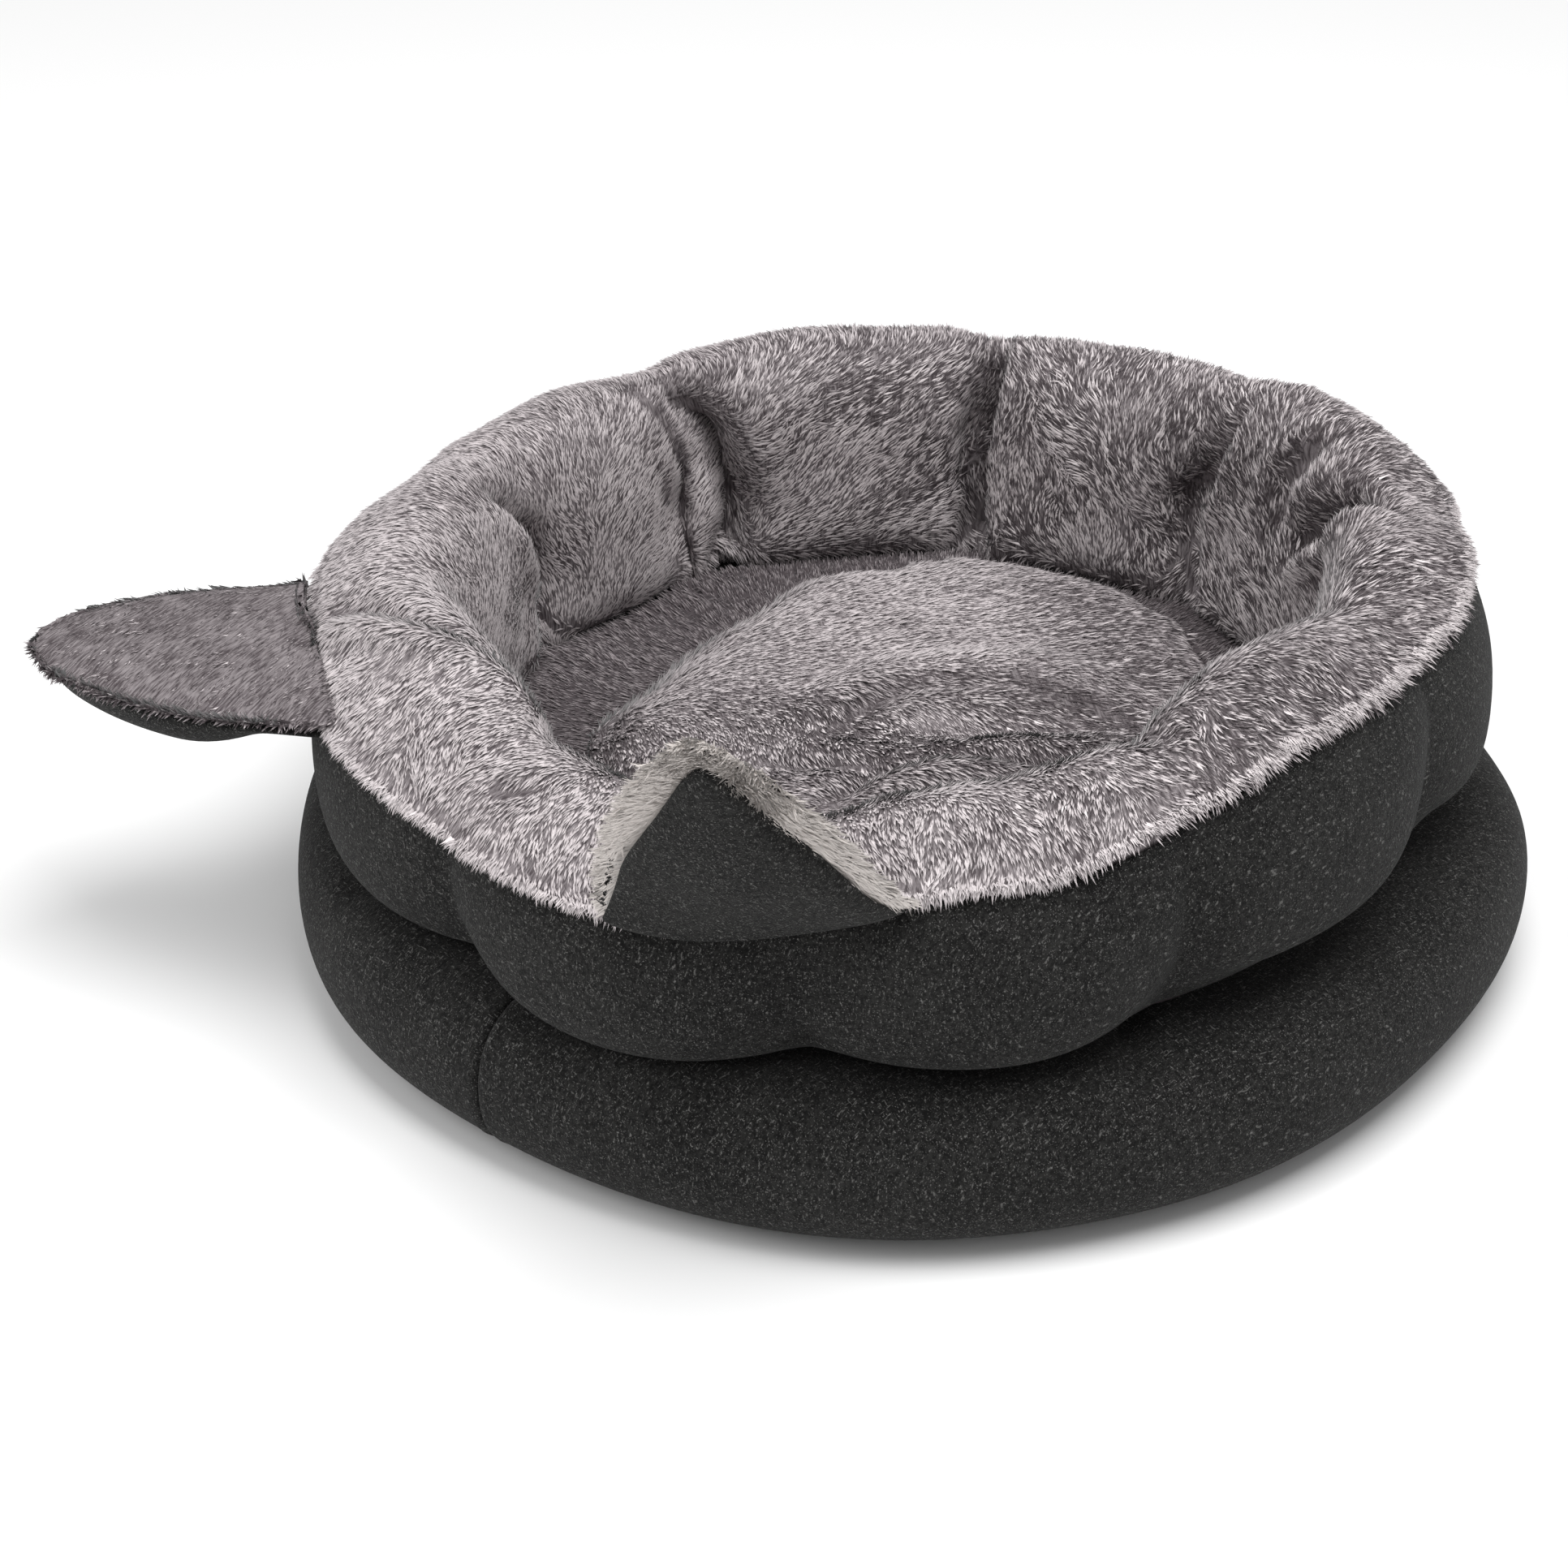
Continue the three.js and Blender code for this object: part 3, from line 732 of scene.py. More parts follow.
class Folds:
    """The folds of one piece, laid along its surface.

    Across a fold, distances are counted in its widths.
    """

    valley_share: float = 0.55
    valley_width: float = 2.2
    slit_width: float = 0.7
    flank_width: float = 0.9
    swell_middle: float = 2.4
    swell_width: float = 1.5
    swell_floor: float = 0.25

    def __init__(
        self,
        folds: list[Fold],
        points: np.ndarray,
        away: Callable[[float, float], np.ndarray],
        ahead: Callable[[np.ndarray], np.ndarray],
    ) -> None:
        """Finds where the folds run.

        Args:
            folds: The folds.
            points: The piece's vertex places.
            away: How far each vertex is from two measures, squared.
            ahead: The way that counts as ahead, at places on the piece.
        """
        self.folds = folds
        self.ahead = ahead
        self.lines = [self.line(fold, points, away) for fold in folds]

    def line(
        self, fold: Fold, points: np.ndarray, away: Callable[[float, float], np.ndarray]
    ) -> np.ndarray:
        """Places along one fold: the nearest vertices to its path, smoothed.

        Args:
            fold: The fold.
            points: The piece's vertex places.
            away: How far each vertex is from two measures, squared.

        Returns:
            The places, one row each.
        """
        marks = []
        for start, end in zip(np.array(fold.path), np.array(fold.path[1:])):
            for share in np.linspace(0, 1, STEPS_A_MARK + 1)[:-1]:
                marks.append(points[int(np.argmin(away(*(start + (end - start) * share))))])
        rows = np.array(marks)
        for _ in range(SMOOTHING_ROUNDS):
            rows[1:-1] = (rows[:-2] + 2 * rows[1:-1] + rows[2:]) / 4
        return rows

    def gaps(self, line: np.ndarray, points: np.ndarray) -> tuple[np.ndarray, np.ndarray, np.ndarray]:
        """Distance of points from one line, the share of it that they are near, and the way off it.

        Args:
            line: Places along the fold.
            points: Places near it.

        Returns:
            Distances, shares from 0 to 1, and vectors away from the line.
        """
        along = np.diff(line, axis=0)
        best = np.full(len(points), np.inf)
        share = np.zeros(len(points))
        off = np.zeros((len(points), 3))
        for number, (start, step) in enumerate(zip(line, along)):
            reach = np.clip((points - start) @ step / (step @ step + 1e-12), 0, 1)
            vectors = points - start - reach[:, None] * step
            distance = np.linalg.norm(vectors, axis=1)
            closer = distance < best
            best[closer] = distance[closer]
            share[closer] = (number + reach[closer]) / len(along)
            off[closer] = vectors[closer]
        return best, share, off

    def press(self, points: np.ndarray, normals: np.ndarray) -> np.ndarray:
        """Presses the folds in: a valley on one side, and cloth that swells over it from the other.

        Args:
            points: Vertex places.
            normals: Vertex normals.

        Returns:
            The new vertex places.
        """
        moved = points.copy()
        for line, fold in zip(self.lines, self.folds):
            rows = self.near(line, points, 6 * fold.width)
            gap, share, off = self.gaps(line, points[rows])
            over = smooth_step((unit(off) * self.ahead(points[rows])).sum(1) * fold.lap, -0.4, 0.4)
            gap = gap / fold.width
            slit = (1 - self.valley_share) * np.exp(-gap / self.slit_width)
            valley = self.valley_share * hump(gap, 0, self.valley_width) + slit
            swell = hump(gap, self.swell_middle, self.swell_width)
            swell *= self.swell_floor + (1 - self.swell_floor) * over
            push = fold.swell * swell - over * hump(gap, 0, self.flank_width) - (1 - over) * valley
            moved[rows] += normals[rows] * (fold.depth * fold.taper(share) * push)[:, None]
        return moved

    def near(self, line: np.ndarray, points: np.ndarray, reach: float) -> np.ndarray:
        """Numbers of the points that lie in the box of a line, grown by a reach."""
        return np.nonzero(((points > line.min(0) - reach) & (points < line.max(0) + reach)).all(1))[0]

    def parting_and_shade(self, points: np.ndarray, reach: float) -> tuple[np.ndarray, np.ndarray]:
        """How close points are to the folds, and which way the pile parts there.

        Args:
            points: Places on the piece.
            reach: Distance at which the closeness has fallen to about a third.

        Returns:
            Closeness from 0 to 1, and vectors away from the folds.
        """
        close = np.zeros(len(points))
        off = np.zeros((len(points), 3))
        for line, fold in zip(self.lines, self.folds):
            rows = self.near(line, points, 4 * reach)
            gap, share, vectors = self.gaps(line, points[rows])
            strength = hump(gap, 0, reach) * fold.taper(share) ** 0.5 * min(1.0, fold.depth / FULL_PARTING)
            close[rows] = np.maximum(close[rows], strength)
            off[rows] += unit(vectors) * strength[:, None]
        return close, off


# Pile


@dataclass(frozen=True)
class PileCut:
    """How a plush is cut: its locks' spacing, length, width and lie.

    Lie is the share of a lock's length that runs along the surface. A free pile follows its
    comb off the surface, and any other lies along the surface. Unruly is the stray of single
    locks, and calm scales the stray of whole tufts. The softer the pile, the more its locks
    are shaded alike.
    """

    spacing: float = 1.32 * MM
    length: float = 6.5 * MM
    width: float = 1.5 * MM
    lie: float = 0.962
    unruly: float = 0.08
    tint: float = 0.50
    softness: float = 0.7
    calm: float = 1.0
    free: float = 0.0
    seed: int = 1


Comb = Callable[[np.ndarray, np.ndarray], np.ndarray]
Cover = Callable[[np.ndarray, np.ndarray], np.ndarray]

LOCKS_A_PIECE = 48000

# Sizes of the tufts in metres, and how far tufts of each size turn the pile
TUFTS = ((0.007, 0.14), (0.018, 0.18), (0.05, 0.18))


class Pile:
    """Locks grown on a cloth: each one a closed, tapered thorn of four faces.

    A ruffled pile strays and stands up more, its tints vary more, and it is darkened as painted
    shade. At a fold the pile parts and is darkened as painted shade.
    """

    root_depth: float = 1.0 * MM
    length_spread: float = 0.09
    width_spread: float = 0.2
    lie_spread: float = 0.018
    lie_range: tuple[float, float] = (0.3, 0.988)
    ruffled_stray: float = 0.6
    ruffled_rise: float = 0.03
    ruffled_tints: float = 0.32
    # Painted shade on a ruffled pile
    ruffled_shade: float = 0.23
    ruffled_shine: float = 0.45
    parting_reach: float = 5 * MM
    parting_lean: float = 0.9
    # Painted shade at a fold
    parting_shade: float = 0.40

    def __init__(
        self,
        cut: PileCut,
        comb: Comb,
        cover: Cover,
        ruffle: Cover | None = None,
        folds: Folds | None = None,
        tone: Cover | None = None,
        facing: np.ndarray | None = None,
    ) -> None:
        """Sets up the pile.

        Args:
            cut: How the plush is cut.
            comb: Direction of the pile from places and normals.
            cover: Share of the full density, from places and normals.
            ruffle: How far the pile is brushed up, from 0 to 1, or 0 if none.
            folds: Folds at which the pile parts.
            tone: Painted shade added to the tint from place to place.
            facing: The way that the locks catch the light from, or none for the cloth's own.
        """
        self.cut = cut
        self.comb = comb
        self.cover = cover
        self.ruffle = ruffle
        self.folds = folds
        self.tone = tone
        self.facing = facing
        self.dice = np.random.default_rng(cut.seed)
        self.tufts = [Ripple(size, cut.seed + 10 + number) for number, (size, _) in enumerate(TUFTS)]

    def sample(self, cloth: Cloth) -> tuple[np.ndarray, np.ndarray]:
        """Spreads roots over the cloth's surface.

        Args:
            cloth: The cloth that the pile grows on.

        Returns:
            Places and normals of the roots.
        """
        mesh = cloth.object.data
        mesh.calc_loop_triangles()
        corners = np.zeros(len(mesh.loop_triangles) * 3, np.int32)
        mesh.loop_triangles.foreach_get("vertices", corners)
        corners = corners.reshape(-1, 3)
        points, normals = cloth.points, cloth.normals
        a, b, c = (points[corners[:, i]] for i in range(3))
        area = np.linalg.norm(np.cross(b - a, c - a), axis=1) / 2
        cover = np.clip(self.cover((a + b + c) / 3, unit(normals[corners].sum(1))), 0, 1)
        weight = area * cover
        count = int(weight.sum() / self.cut.spacing**2)
        steps = (np.arange(count) + self.dice.uniform(0, 1, count)) / count
        chosen = np.searchsorted(np.cumsum(weight) / weight.sum(), steps)
        rows = corners[np.minimum(chosen, len(area) - 1)]
        u, v = self.dice.uniform(0, 1, (2, count))
        flip = u + v > 1
        u[flip], v[flip] = 1 - u[flip], 1 - v[flip]
        shares = ((1 - u - v)[:, None], u[:, None], v[:, None])

        def spread(values: np.ndarray) -> np.ndarray:
            """Values at the roots, from those at the vertices."""
            return sum(share * values[rows[:, corner]] for corner, share in enumerate(shares))

        return spread(points), unit(spread(normals))

    def grow(self, cloth: Cloth, name: str, material: bpy.types.Material) -> None:
        """Grows the locks and joins them into pieces.

        Args:
            cloth: The cloth that the pile grows on.
            name: Start of the pieces' names.
            material: The pile's finish.
        """
        places, normals = self.sample(cloth)
        parting_and_shade, off = np.zeros(len(places)), np.zeros((len(places), 3))
        if self.folds is not None:
            parting_and_shade, off = self.folds.parting_and_shade(places, self.parting_reach)
            kept = self.dice.uniform(size=len(places)) > (parting_and_shade - 0.6) * 2.5
            places, normals, parting_and_shade, off = places[kept], normals[kept], parting_and_shade[kept], off[kept]
        ruffle = self.ruffle(places, normals) if self.ruffle else np.zeros(len(places))
        ruffle = np.clip(ruffle * (0.75 + 0.5 * self.tufts[2].numbers(places + 0.7)), 0, 1)
        crowd = self.tufts[0].numbers(places + 0.3)
        vertices, soft = self.shape(places, normals, ruffle, crowd, off)
        tint = self.tints(places, normals, ruffle, crowd, parting_and_shade)
        around_bed = places - places.mean(0)
        order = np.argsort(np.arctan2(around_bed[:, 1], around_bed[:, 0]), kind="stable")
        parts = math.ceil(len(places) / LOCKS_A_PIECE)
        for number, rows in enumerate(np.array_split(order, parts)):
            label = f"{name}_{number + 1}" if parts > 1 else name
            self.lock_mesh(label, vertices[rows], soft[rows], tint[rows], material)
        log.info("%s: %d locks in %d pieces", name, len(places), parts)

    def shape(
        self,
        places: np.ndarray,
        normals: np.ndarray,
        ruffle: np.ndarray,
        crowd: np.ndarray,
        off: np.ndarray,
    ) -> tuple[np.ndarray, np.ndarray]:
        """Lays every lock along the pile and shapes it.

        Args:
            places: Roots of the locks.
            normals: Normals of the cloth there.
            ruffle: How far the pile is brushed up there.
            crowd: Fine noise that makes neighbours alike.
            off: The ways off the folds, as long as the parting is strong.

        Returns:
            Four places a lock and the shading normals at them.
        """
        cut, count = self.cut, len(places)
        combed = unit(self.comb(places, normals))
        flow = unit(combed - (combed * normals).sum(1, keepdims=True) * normals)
        more = 1 + self.ruffled_stray * ruffle
        stray = sum(tuft.vectors(places) * sway for tuft, (_, sway) in zip(self.tufts, TUFTS))
        stray *= cut.calm * more[:, None]
        stray = stray + self.dice.normal(size=(count, 3)) * (cut.unruly * more)[:, None]
        stray = stray + off * self.parting_lean
        flow = unit(flow + stray - (stray * normals).sum(1, keepdims=True) * normals)
        length = cut.length * (1 + 0.08 * crowd + self.dice.normal(size=count) * self.length_spread)
        lie = cut.lie + 0.010 * self.tufts[1].numbers(places) + self.dice.normal(size=count) * self.lie_spread
        lie = np.clip(lie - ruffle * (self.ruffled_rise + 0.04 * crowd), *self.lie_range)
        along = flow * lie[:, None] + normals * np.sqrt(1 - lie**2)[:, None]
        along = unit(along * (1 - cut.free) + unit(combed + stray) * cut.free)
        side = unit(np.cross(normals - flow, along))
        up = np.cross(along, side)
        half = (cut.width * (1 + self.dice.normal(size=count) * self.width_spread) / 2)[:, None]
        root = places - normals * self.root_depth
        tip = root + along * length[:, None]
        vertices = np.stack([root + side * half, root - side * half, root + up * half, tip], axis=1)
        softness = (cut.softness * (1 - self.ruffled_shine * ruffle))[:, None, None]
        facing = normals if self.facing is None else unit(normals * 0.3 + self.facing)
        own = np.stack([side, -side, up, unit(along * 0.4 + up)], axis=1)
        return vertices, own * (1 - softness) + facing[:, None] * softness

    def tints(
        self,
        places: np.ndarray,
        normals: np.ndarray,
        ruffle: np.ndarray,
        crowd: np.ndarray,
        parting_and_shade: np.ndarray,
    ) -> np.ndarray:
        """Draws every lock's tint.

        Args:
            places: Roots of the locks.
            normals: Normals of the cloth there.
            ruffle: How far the pile is brushed up there.
            crowd: Fine noise that makes neighbours alike.
            parting_and_shade: How near a fold the roots are, from 0 to 1.

        Returns:
            Tints from dark to pale, with room for a lock's own spread.
        """
        spread = 0.7 * self.cut.unruly + self.ruffled_tints * ruffle
        tint = (
            self.cut.tint
            + 0.03 * self.tufts[2].numbers(places + 1.0)
            + (0.05 + 0.09 * ruffle) * crowd
            + self.dice.normal(size=len(places)) * spread
            # Painted shade on a ruffled pile and at the folds
            - self.ruffled_shade * ruffle
            - self.parting_shade * parting_and_shade
        )
        # Painted shade from place to place
        if self.tone is not None:
            tint = tint + self.tone(places, normals)
        return np.clip(tint, LOCK_SPREAD, 1 - LOCK_SPREAD)

    def lock_mesh(
        self,
        name: str,
        vertices: np.ndarray,
        soft: np.ndarray,
        tint: np.ndarray,
        material: bpy.types.Material,
    ) -> None:
        """Makes one mesh of many locks.

        Args:
            name: The piece's name.
            vertices: Four places for each lock.
            soft: Shading normals at them.
            tint: Tint of each lock, from 0 to 1.
            material: The pile's finish.
        """
        count = len(vertices)
        pattern = np.array([[0, 1, 2], [0, 3, 1], [1, 3, 2], [2, 3, 0]], np.int32)
        reach = np.array([0.0, 0.0, 0.0, 1.0])
        offset = np.array([1.0, -1.0, 0.0, 0.0]) * LOCK_SPREAD / 2
        corners = (pattern[None] + (np.arange(count, dtype=np.int32) * 4)[:, None, None]).reshape(-1)
        mesh = bpy.data.meshes.new(name)
        mesh.vertices.add(count * 4)
        mesh.vertices.foreach_set("co", vertices.astype(np.float32).ravel())
        mesh.loops.add(len(corners))
        mesh.loops.foreach_set("vertex_index", corners)
        mesh.polygons.add(count * 4)
        mesh.polygons.foreach_set("loop_start", np.arange(0, len(corners), 3, dtype=np.int32))
        mesh.update(calc_edges=True)
        order = pattern.reshape(-1)
        across = np.repeat(tint, len(order)) + np.tile(offset[order], count)
        places = np.stack([across, np.tile(reach[order], count)], axis=1)
        chart = mesh.uv_layers.new(name=LOCK_MAP)
        chart.data.foreach_set("uv", places.astype(np.float32).ravel())
        mesh.shade_smooth()
        mesh.normals_split_custom_set_from_vertices(unit(soft.reshape(-1, 3)).tolist())
        mesh.materials.append(material)
        made = bpy.data.objects.new(name, mesh)
        bpy.context.scene.collection.objects.link(made)
        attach(made, BODY)


# Sub-assemblies


@dataclass
class Pad:
    """Lower tier: the filled felt pad, with the seam that joins its wall.

    The folds' marks are azimuths in degrees and heights in metres, and the seam's lines are
    where the wall is cut beside its seam, in millimetres.
    """

    node: str = "base_pad"
    levels: int = 2
    wall_radius: float = 0.15
    seam_azimuth: float = 281.3
    seam_depth: float = 2.2 * MM
    seam_width: float = 0.8
    seam_lines: tuple[float, ...] = (-7.0, -4.0, -2.0, -0.7, 0.0, 0.7, 2.0, 4.0, 7.0)
    folds: list[Fold] = field(
        default_factory=lambda: [
            Fold(((353, 0.078), (348, 0.070), (343, 0.066), (338, 0.060)), 5 * MM, 7 * MM, swell=0.2),
            Fold(((262, 0.078), (257, 0.066), (252, 0.060)), 3 * MM, 7 * MM, swell=0.2),
        ]
    )

    def build(self, felt: bpy.types.Material) -> None:
        """Builds the pad.

        Args:
            felt: The felt finish.
        """
        cloth = Cloth(self.node, "pad_felt")
        cloth.square_up()
        cloth.subdivide(self.levels)
        points = cloth.points
        azimuth, radius = polar(points)

        def away(turn: float, height: float) -> np.ndarray:
            """How far the pad's points are from an azimuth and a height on its wall."""
            inside = radius < self.wall_radius
            return (around(azimuth, turn) * 4 * MM) ** 2 + (points[:, 2] - height) ** 2 + inside

        cloth.move(Folds(self.folds, points, away, sideways).press(points, cloth.normals))
        self.sew(cloth)
        points = cloth.points
        points[:, 2] = np.maximum(points[:, 2], 0)
        cloth.move(points)
        cloth.dress(felt, Slot.FELT, self.node)

    def sew(self, cloth: Cloth) -> None:
        """Cuts lines into the wall at its seam and draws the middle one in.

        Args:
            cloth: The pad.
        """
        turn = math.radians(self.seam_azimuth)
        ahead = Vector((math.cos(turn), math.sin(turn), 0))
        across = Vector((-math.sin(turn), math.cos(turn), 0))
        work = bmesh.new()
        work.from_mesh(cloth.object.data)
        for shift in self.seam_lines:
            parts = set()
            for face in work.faces:
                centre = face.calc_center_median()
                if centre @ ahead > self.wall_radius + 0.01 and abs(centre @ across) < 0.03:
                    parts.update((face, *face.edges, *face.verts))
            bmesh.ops.bisect_plane(
                work, geom=list(parts), dist=1e-5, plane_co=across * shift * MM, plane_no=across
            )
        work.normal_update()
        moves = []
        for vertex in work.verts:
            gap = abs(vertex.co @ across) / MM
            if gap < 7.5 and vertex.co @ ahead > self.wall_radius + 0.02:
                groove = math.exp(-gap / self.seam_width) - 0.18 * math.exp(-(((gap - 3.5) / 2.0) ** 2))
                moves.append((vertex, vertex.normal * (-self.seam_depth * groove)))
        for vertex, push in moves:
            vertex.co += push
        for face in work.faces:
            face.smooth = True
        work.to_mesh(cloth.object.data)
        work.free()


@dataclass
class Bolster:
    """Upper tier: the filled plush ring and its felt outer panel.

    The folds' marks are azimuths around the bed and turns around the ring's section, in
    degrees. A turn of 90 is the crown, 180 the inner wall and 270 the underside. Front is
    the azimuth of the low rim, the pile leans about back and is brushed up about brushed.
    """

    plush_node: str = "bolster_plush"
    felt_node: str = "bolster_felt"
    grain: float = 2.45 * MM
    pile_depth: float = 2.4 * MM
    pile_end: tuple[float, float] = (250.0, 258.0)
    # Turns of the ring's underside, whose backing gets painted shade
    underside: tuple[float, float] = (262.0, 275.0)
    front: float = 287.0
    back: float = 160.0
    brushed: float = 58.0
    fringe_rows: tuple[float, float] = (0.5, 5.0)
    cut: PileCut = field(default_factory=lambda: PileCut(seed=11))
    fringe: PileCut = field(
        default_factory=lambda: PileCut(
            spacing=0.8 * MM, length=5.5 * MM, width=1.0 * MM, lie=0.9, unruly=0.22, tint=0.7, seed=12
        )
    )
    folds: list[Fold] = field(
        default_factory=lambda: [
            Fold(((128, 85), (129, 120), (130, 150), (130.5, 190), (130.5, 246)), 19 * MM, 5 * MM, -1, 1.0),
            Fold(
                ((86, 80), (88, 120), (92, 145), (96, 175), (96, 215), (95.5, 240)),
                15 * MM, 5 * MM, -1, 0.5,
            ),
            Fold(((70.3, 100), (71.3, 118), (73.8, 132), (74.2, 150), (76, 180)), 11 * MM, 4 * MM, 1),
            Fold(
                ((174.8, 105), (171.5, 145), (169.3, 185), (168, 215), (170, 246)),
                24 * MM, 6 * MM, 1, 1.0,
            ),
            Fold(((181.5, 100), (178.5, 135), (176, 170), (175, 200)), 7 * MM, 3.5 * MM, 1),
            Fold(((216, 115), (211, 140), (207, 175), (206, 205), (207, 240)), 16 * MM, 5 * MM, 1, 0.6),
            Fold(
                ((236, 40), (243, 70), (253.7, 100), (260, 115), (266, 132), (270, 165)),
                14 * MM, 5 * MM, 1,
            ),
            Fold(((49.3, 95), (57.6, 119), (64.9, 141), (72.7, 172)), 13 * MM, 5 * MM, -1),
            Fold(((58, 118), (62, 135), (67, 150), (72, 190)), 6 * MM, 4 * MM, -1),
            Fold(((349.5, 95), (348.5, 112), (347.5, 125)), 8 * MM, 5 * MM),
            Fold(((277, 50), (279, 65), (281.8, 80)), 5 * MM, 4 * MM),
        ]
    )

    def build(
        self, felt: bpy.types.Material, backing: bpy.types.Material, pile: bpy.types.Material
    ) -> None:
        """Builds the ring, its pile and its felt panel.

        Args:
            felt: The felt finish.
            backing: The finish of the plush's backing.
            pile: The finish of the pile.
        """
        ring = Cloth(self.plush_node, "ring_backing")
        ring.remesh(self.grain, 6)
        azimuth, turn = ring_places(ring.points)

        def away(side: float, rise: float) -> np.ndarray:
            """How far the ring's points are from an azimuth and a turn."""
            return around(azimuth, side) ** 2 * 12 + around(turn, rise) ** 2

        folds = Folds(self.folds, ring.points, away, sideways)
        ring.move(ring.points - ring.normals * self.inset(ring, turn)[:, None])
        ring.move(folds.press(ring.points, ring.normals))
        # Painted shade on the backing in the folds and on the underside
        ring.mark(np.maximum(folds.parting_and_shade(ring.points, 4 * MM)[0], smooth_step(turn, *self.underside)))
        girth = 2 * math.pi * SECTION_RADIUS
        ring.chart(azimuth / 360 * girth, np.radians(turn) * 0.05, girth)
        ring.dress(backing, Slot.PLUSH, self.plush_node)
        plush = Pile(self.cut, self.comb, self.pile_cover, self.ruffle, folds, self.tone)
        plush.grow(ring, "ring_pile", pile)
        Pile(self.fringe, self.fringe_comb, self.fringe_cover).grow(ring, "rim_fringe", pile)
        panel = Cloth(self.felt_node, "ring_felt")
        panel.square_up()
        panel.subdivide(2)
        panel.dress(felt, Slot.FELT, self.felt_node)

    def inset(self, ring: Cloth, turn: np.ndarray) -> np.ndarray:
        """How far the backing lies under the solid's surface, where the pile fills the rest.

        Args:
            ring: The ring's backing.
            turn: Turn of its points around the section.

        Returns:
            Depths in metres, uneven as the filling slumps.
        """
        slump = Ripple(0.07, 5).numbers(ring.points) * 0.9 * MM
        slump += Ripple(0.026, 6).numbers(ring.points) * 0.35 * MM
        inset = self.pile_cover(ring.points, ring.normals) * (self.pile_depth - slump)
        inset *= smooth_step(turn - self.rim_turn(ring.points), 0, 14)
        return inset * (1 - smooth_step(turn, 205, 235))

    def pile_cover(self, points: np.ndarray, normals: np.ndarray) -> np.ndarray:
        """Where the ring has pile: above the rim seam and down the inner wall.

        Args:
            points: Places on the ring.
            normals: Normals there; not used.

        Returns:
            Share of the full pile, from 0 to 1.
        """
        azimuth, turn = ring_places(points)
        behind_ear = np.abs(around(azimuth, FRONT_EAR)) < 10.5
        start = self.rim_turn(points) + np.where(behind_ear, 2.0, 0.0)
        return smooth_step(turn, start - 2.0, start) * (1 - smooth_step(turn, *self.pile_end))

    def tone(self, points: np.ndarray, normals: np.ndarray) -> np.ndarray:
        """Painted shade: the crown is darker at the back, and the front is a little darker than the wall.

        Args:
            points: Places on the ring.
            normals: Normals there; not used.

        Returns:
            What is added to the tint, as painted shade.
        """
        azimuth, turn = ring_places(points)
        front = smooth_step(np.abs(around(azimuth, self.front)), 72, 45)
        crown = 1 - smooth_step(turn, 110, 165)
        return 0.02 - 0.18 * crown * (1 - front) - 0.04 * front

    def ruffle(self, points: np.ndarray, normals: np.ndarray) -> np.ndarray:
        """The pile is smooth on the left side of the ring and brushed up on the right.

        Args:
            points: Places on the ring.
            normals: Normals there; not used.

        Returns:
            How far it is brushed up, from 0 to 1.
        """
        azimuth, turn = ring_places(points)
        right = 0.5 + 0.5 * np.cos(np.radians(azimuth - self.brushed))
        wall = smooth_step(turn, 95, 130)
        return smooth_step(right, 0.15, 0.85) * (0.6 + 0.4 * wall)

    def fringe_cover(self, points: np.ndarray, normals: np.ndarray) -> np.ndarray:
        """Where the fringe over the felt's top edge grows: just above the rim seam, beside the ears.

        Args:
            points: Places on the ring.
            normals: Normals there; not used.

        Returns:
            1 where it grows, and 0 on the rest.
        """
        azimuth, turn = ring_places(points)
        above = turn - self.rim_turn(points)
        low, high = self.fringe_rows
        beside = np.abs(around(azimuth, FRONT_EAR)) > 12.0
        beside &= np.abs(around(azimuth, LEFT_EAR)) > 11.5
        return (beside & (above > low) & (above < high)).astype(float)

    def fringe_comb(self, points: np.ndarray, normals: np.ndarray) -> np.ndarray:
        """The fringe points out over the seam and down."""
        return unit(points * [1, 1, 0]) * 0.5 + [0, 0, -0.8]

    def comb(self, points: np.ndarray, normals: np.ndarray) -> np.ndarray:
        """The pile runs up the inner wall, over the crown and out to the seam.

        It leans to one side on the back wall, and points down at the wall's foot.

        Args:
            points: Places on the ring.
            normals: Normals there.

        Returns:
            Direction of the pile.
        """
        azimuth, turn = ring_places(points)
        back = 1 - smooth_step(np.abs(around(azimuth, self.back)), 20, 40)
        back *= smooth_step(turn, 90, 130)
        up = 1 - 2.2 * smooth_step(turn, 226, 236)
        lean = 0.25 - 1.4 * back
        return np.cross(normals, sideways(points)) * -up[:, None] + lean[:, None] * sideways(points)

    def rim_turn(self, points: np.ndarray) -> np.ndarray:
        """Turn of the rim seam at the azimuths of points."""
        return np.interp(polar(points)[0], *self.rim)

    @cached_property
    def rim(self) -> tuple[np.ndarray, np.ndarray]:
        """The rim seam, from the felt panel's top edge.

        Returns:
            Azimuths around the bed, and the seam's turn at each of them.
        """
        azimuth, turn = ring_places(np.array([v.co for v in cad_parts[self.felt_node].data.vertices]))
        turn = np.where(turn > 180, turn - 360, turn)
        marks = np.arange(0, 361, 4)
        near = np.abs(around(azimuth[None], marks[:, None])) < 4
        return marks, np.where(near, turn[None], -180).max(1)


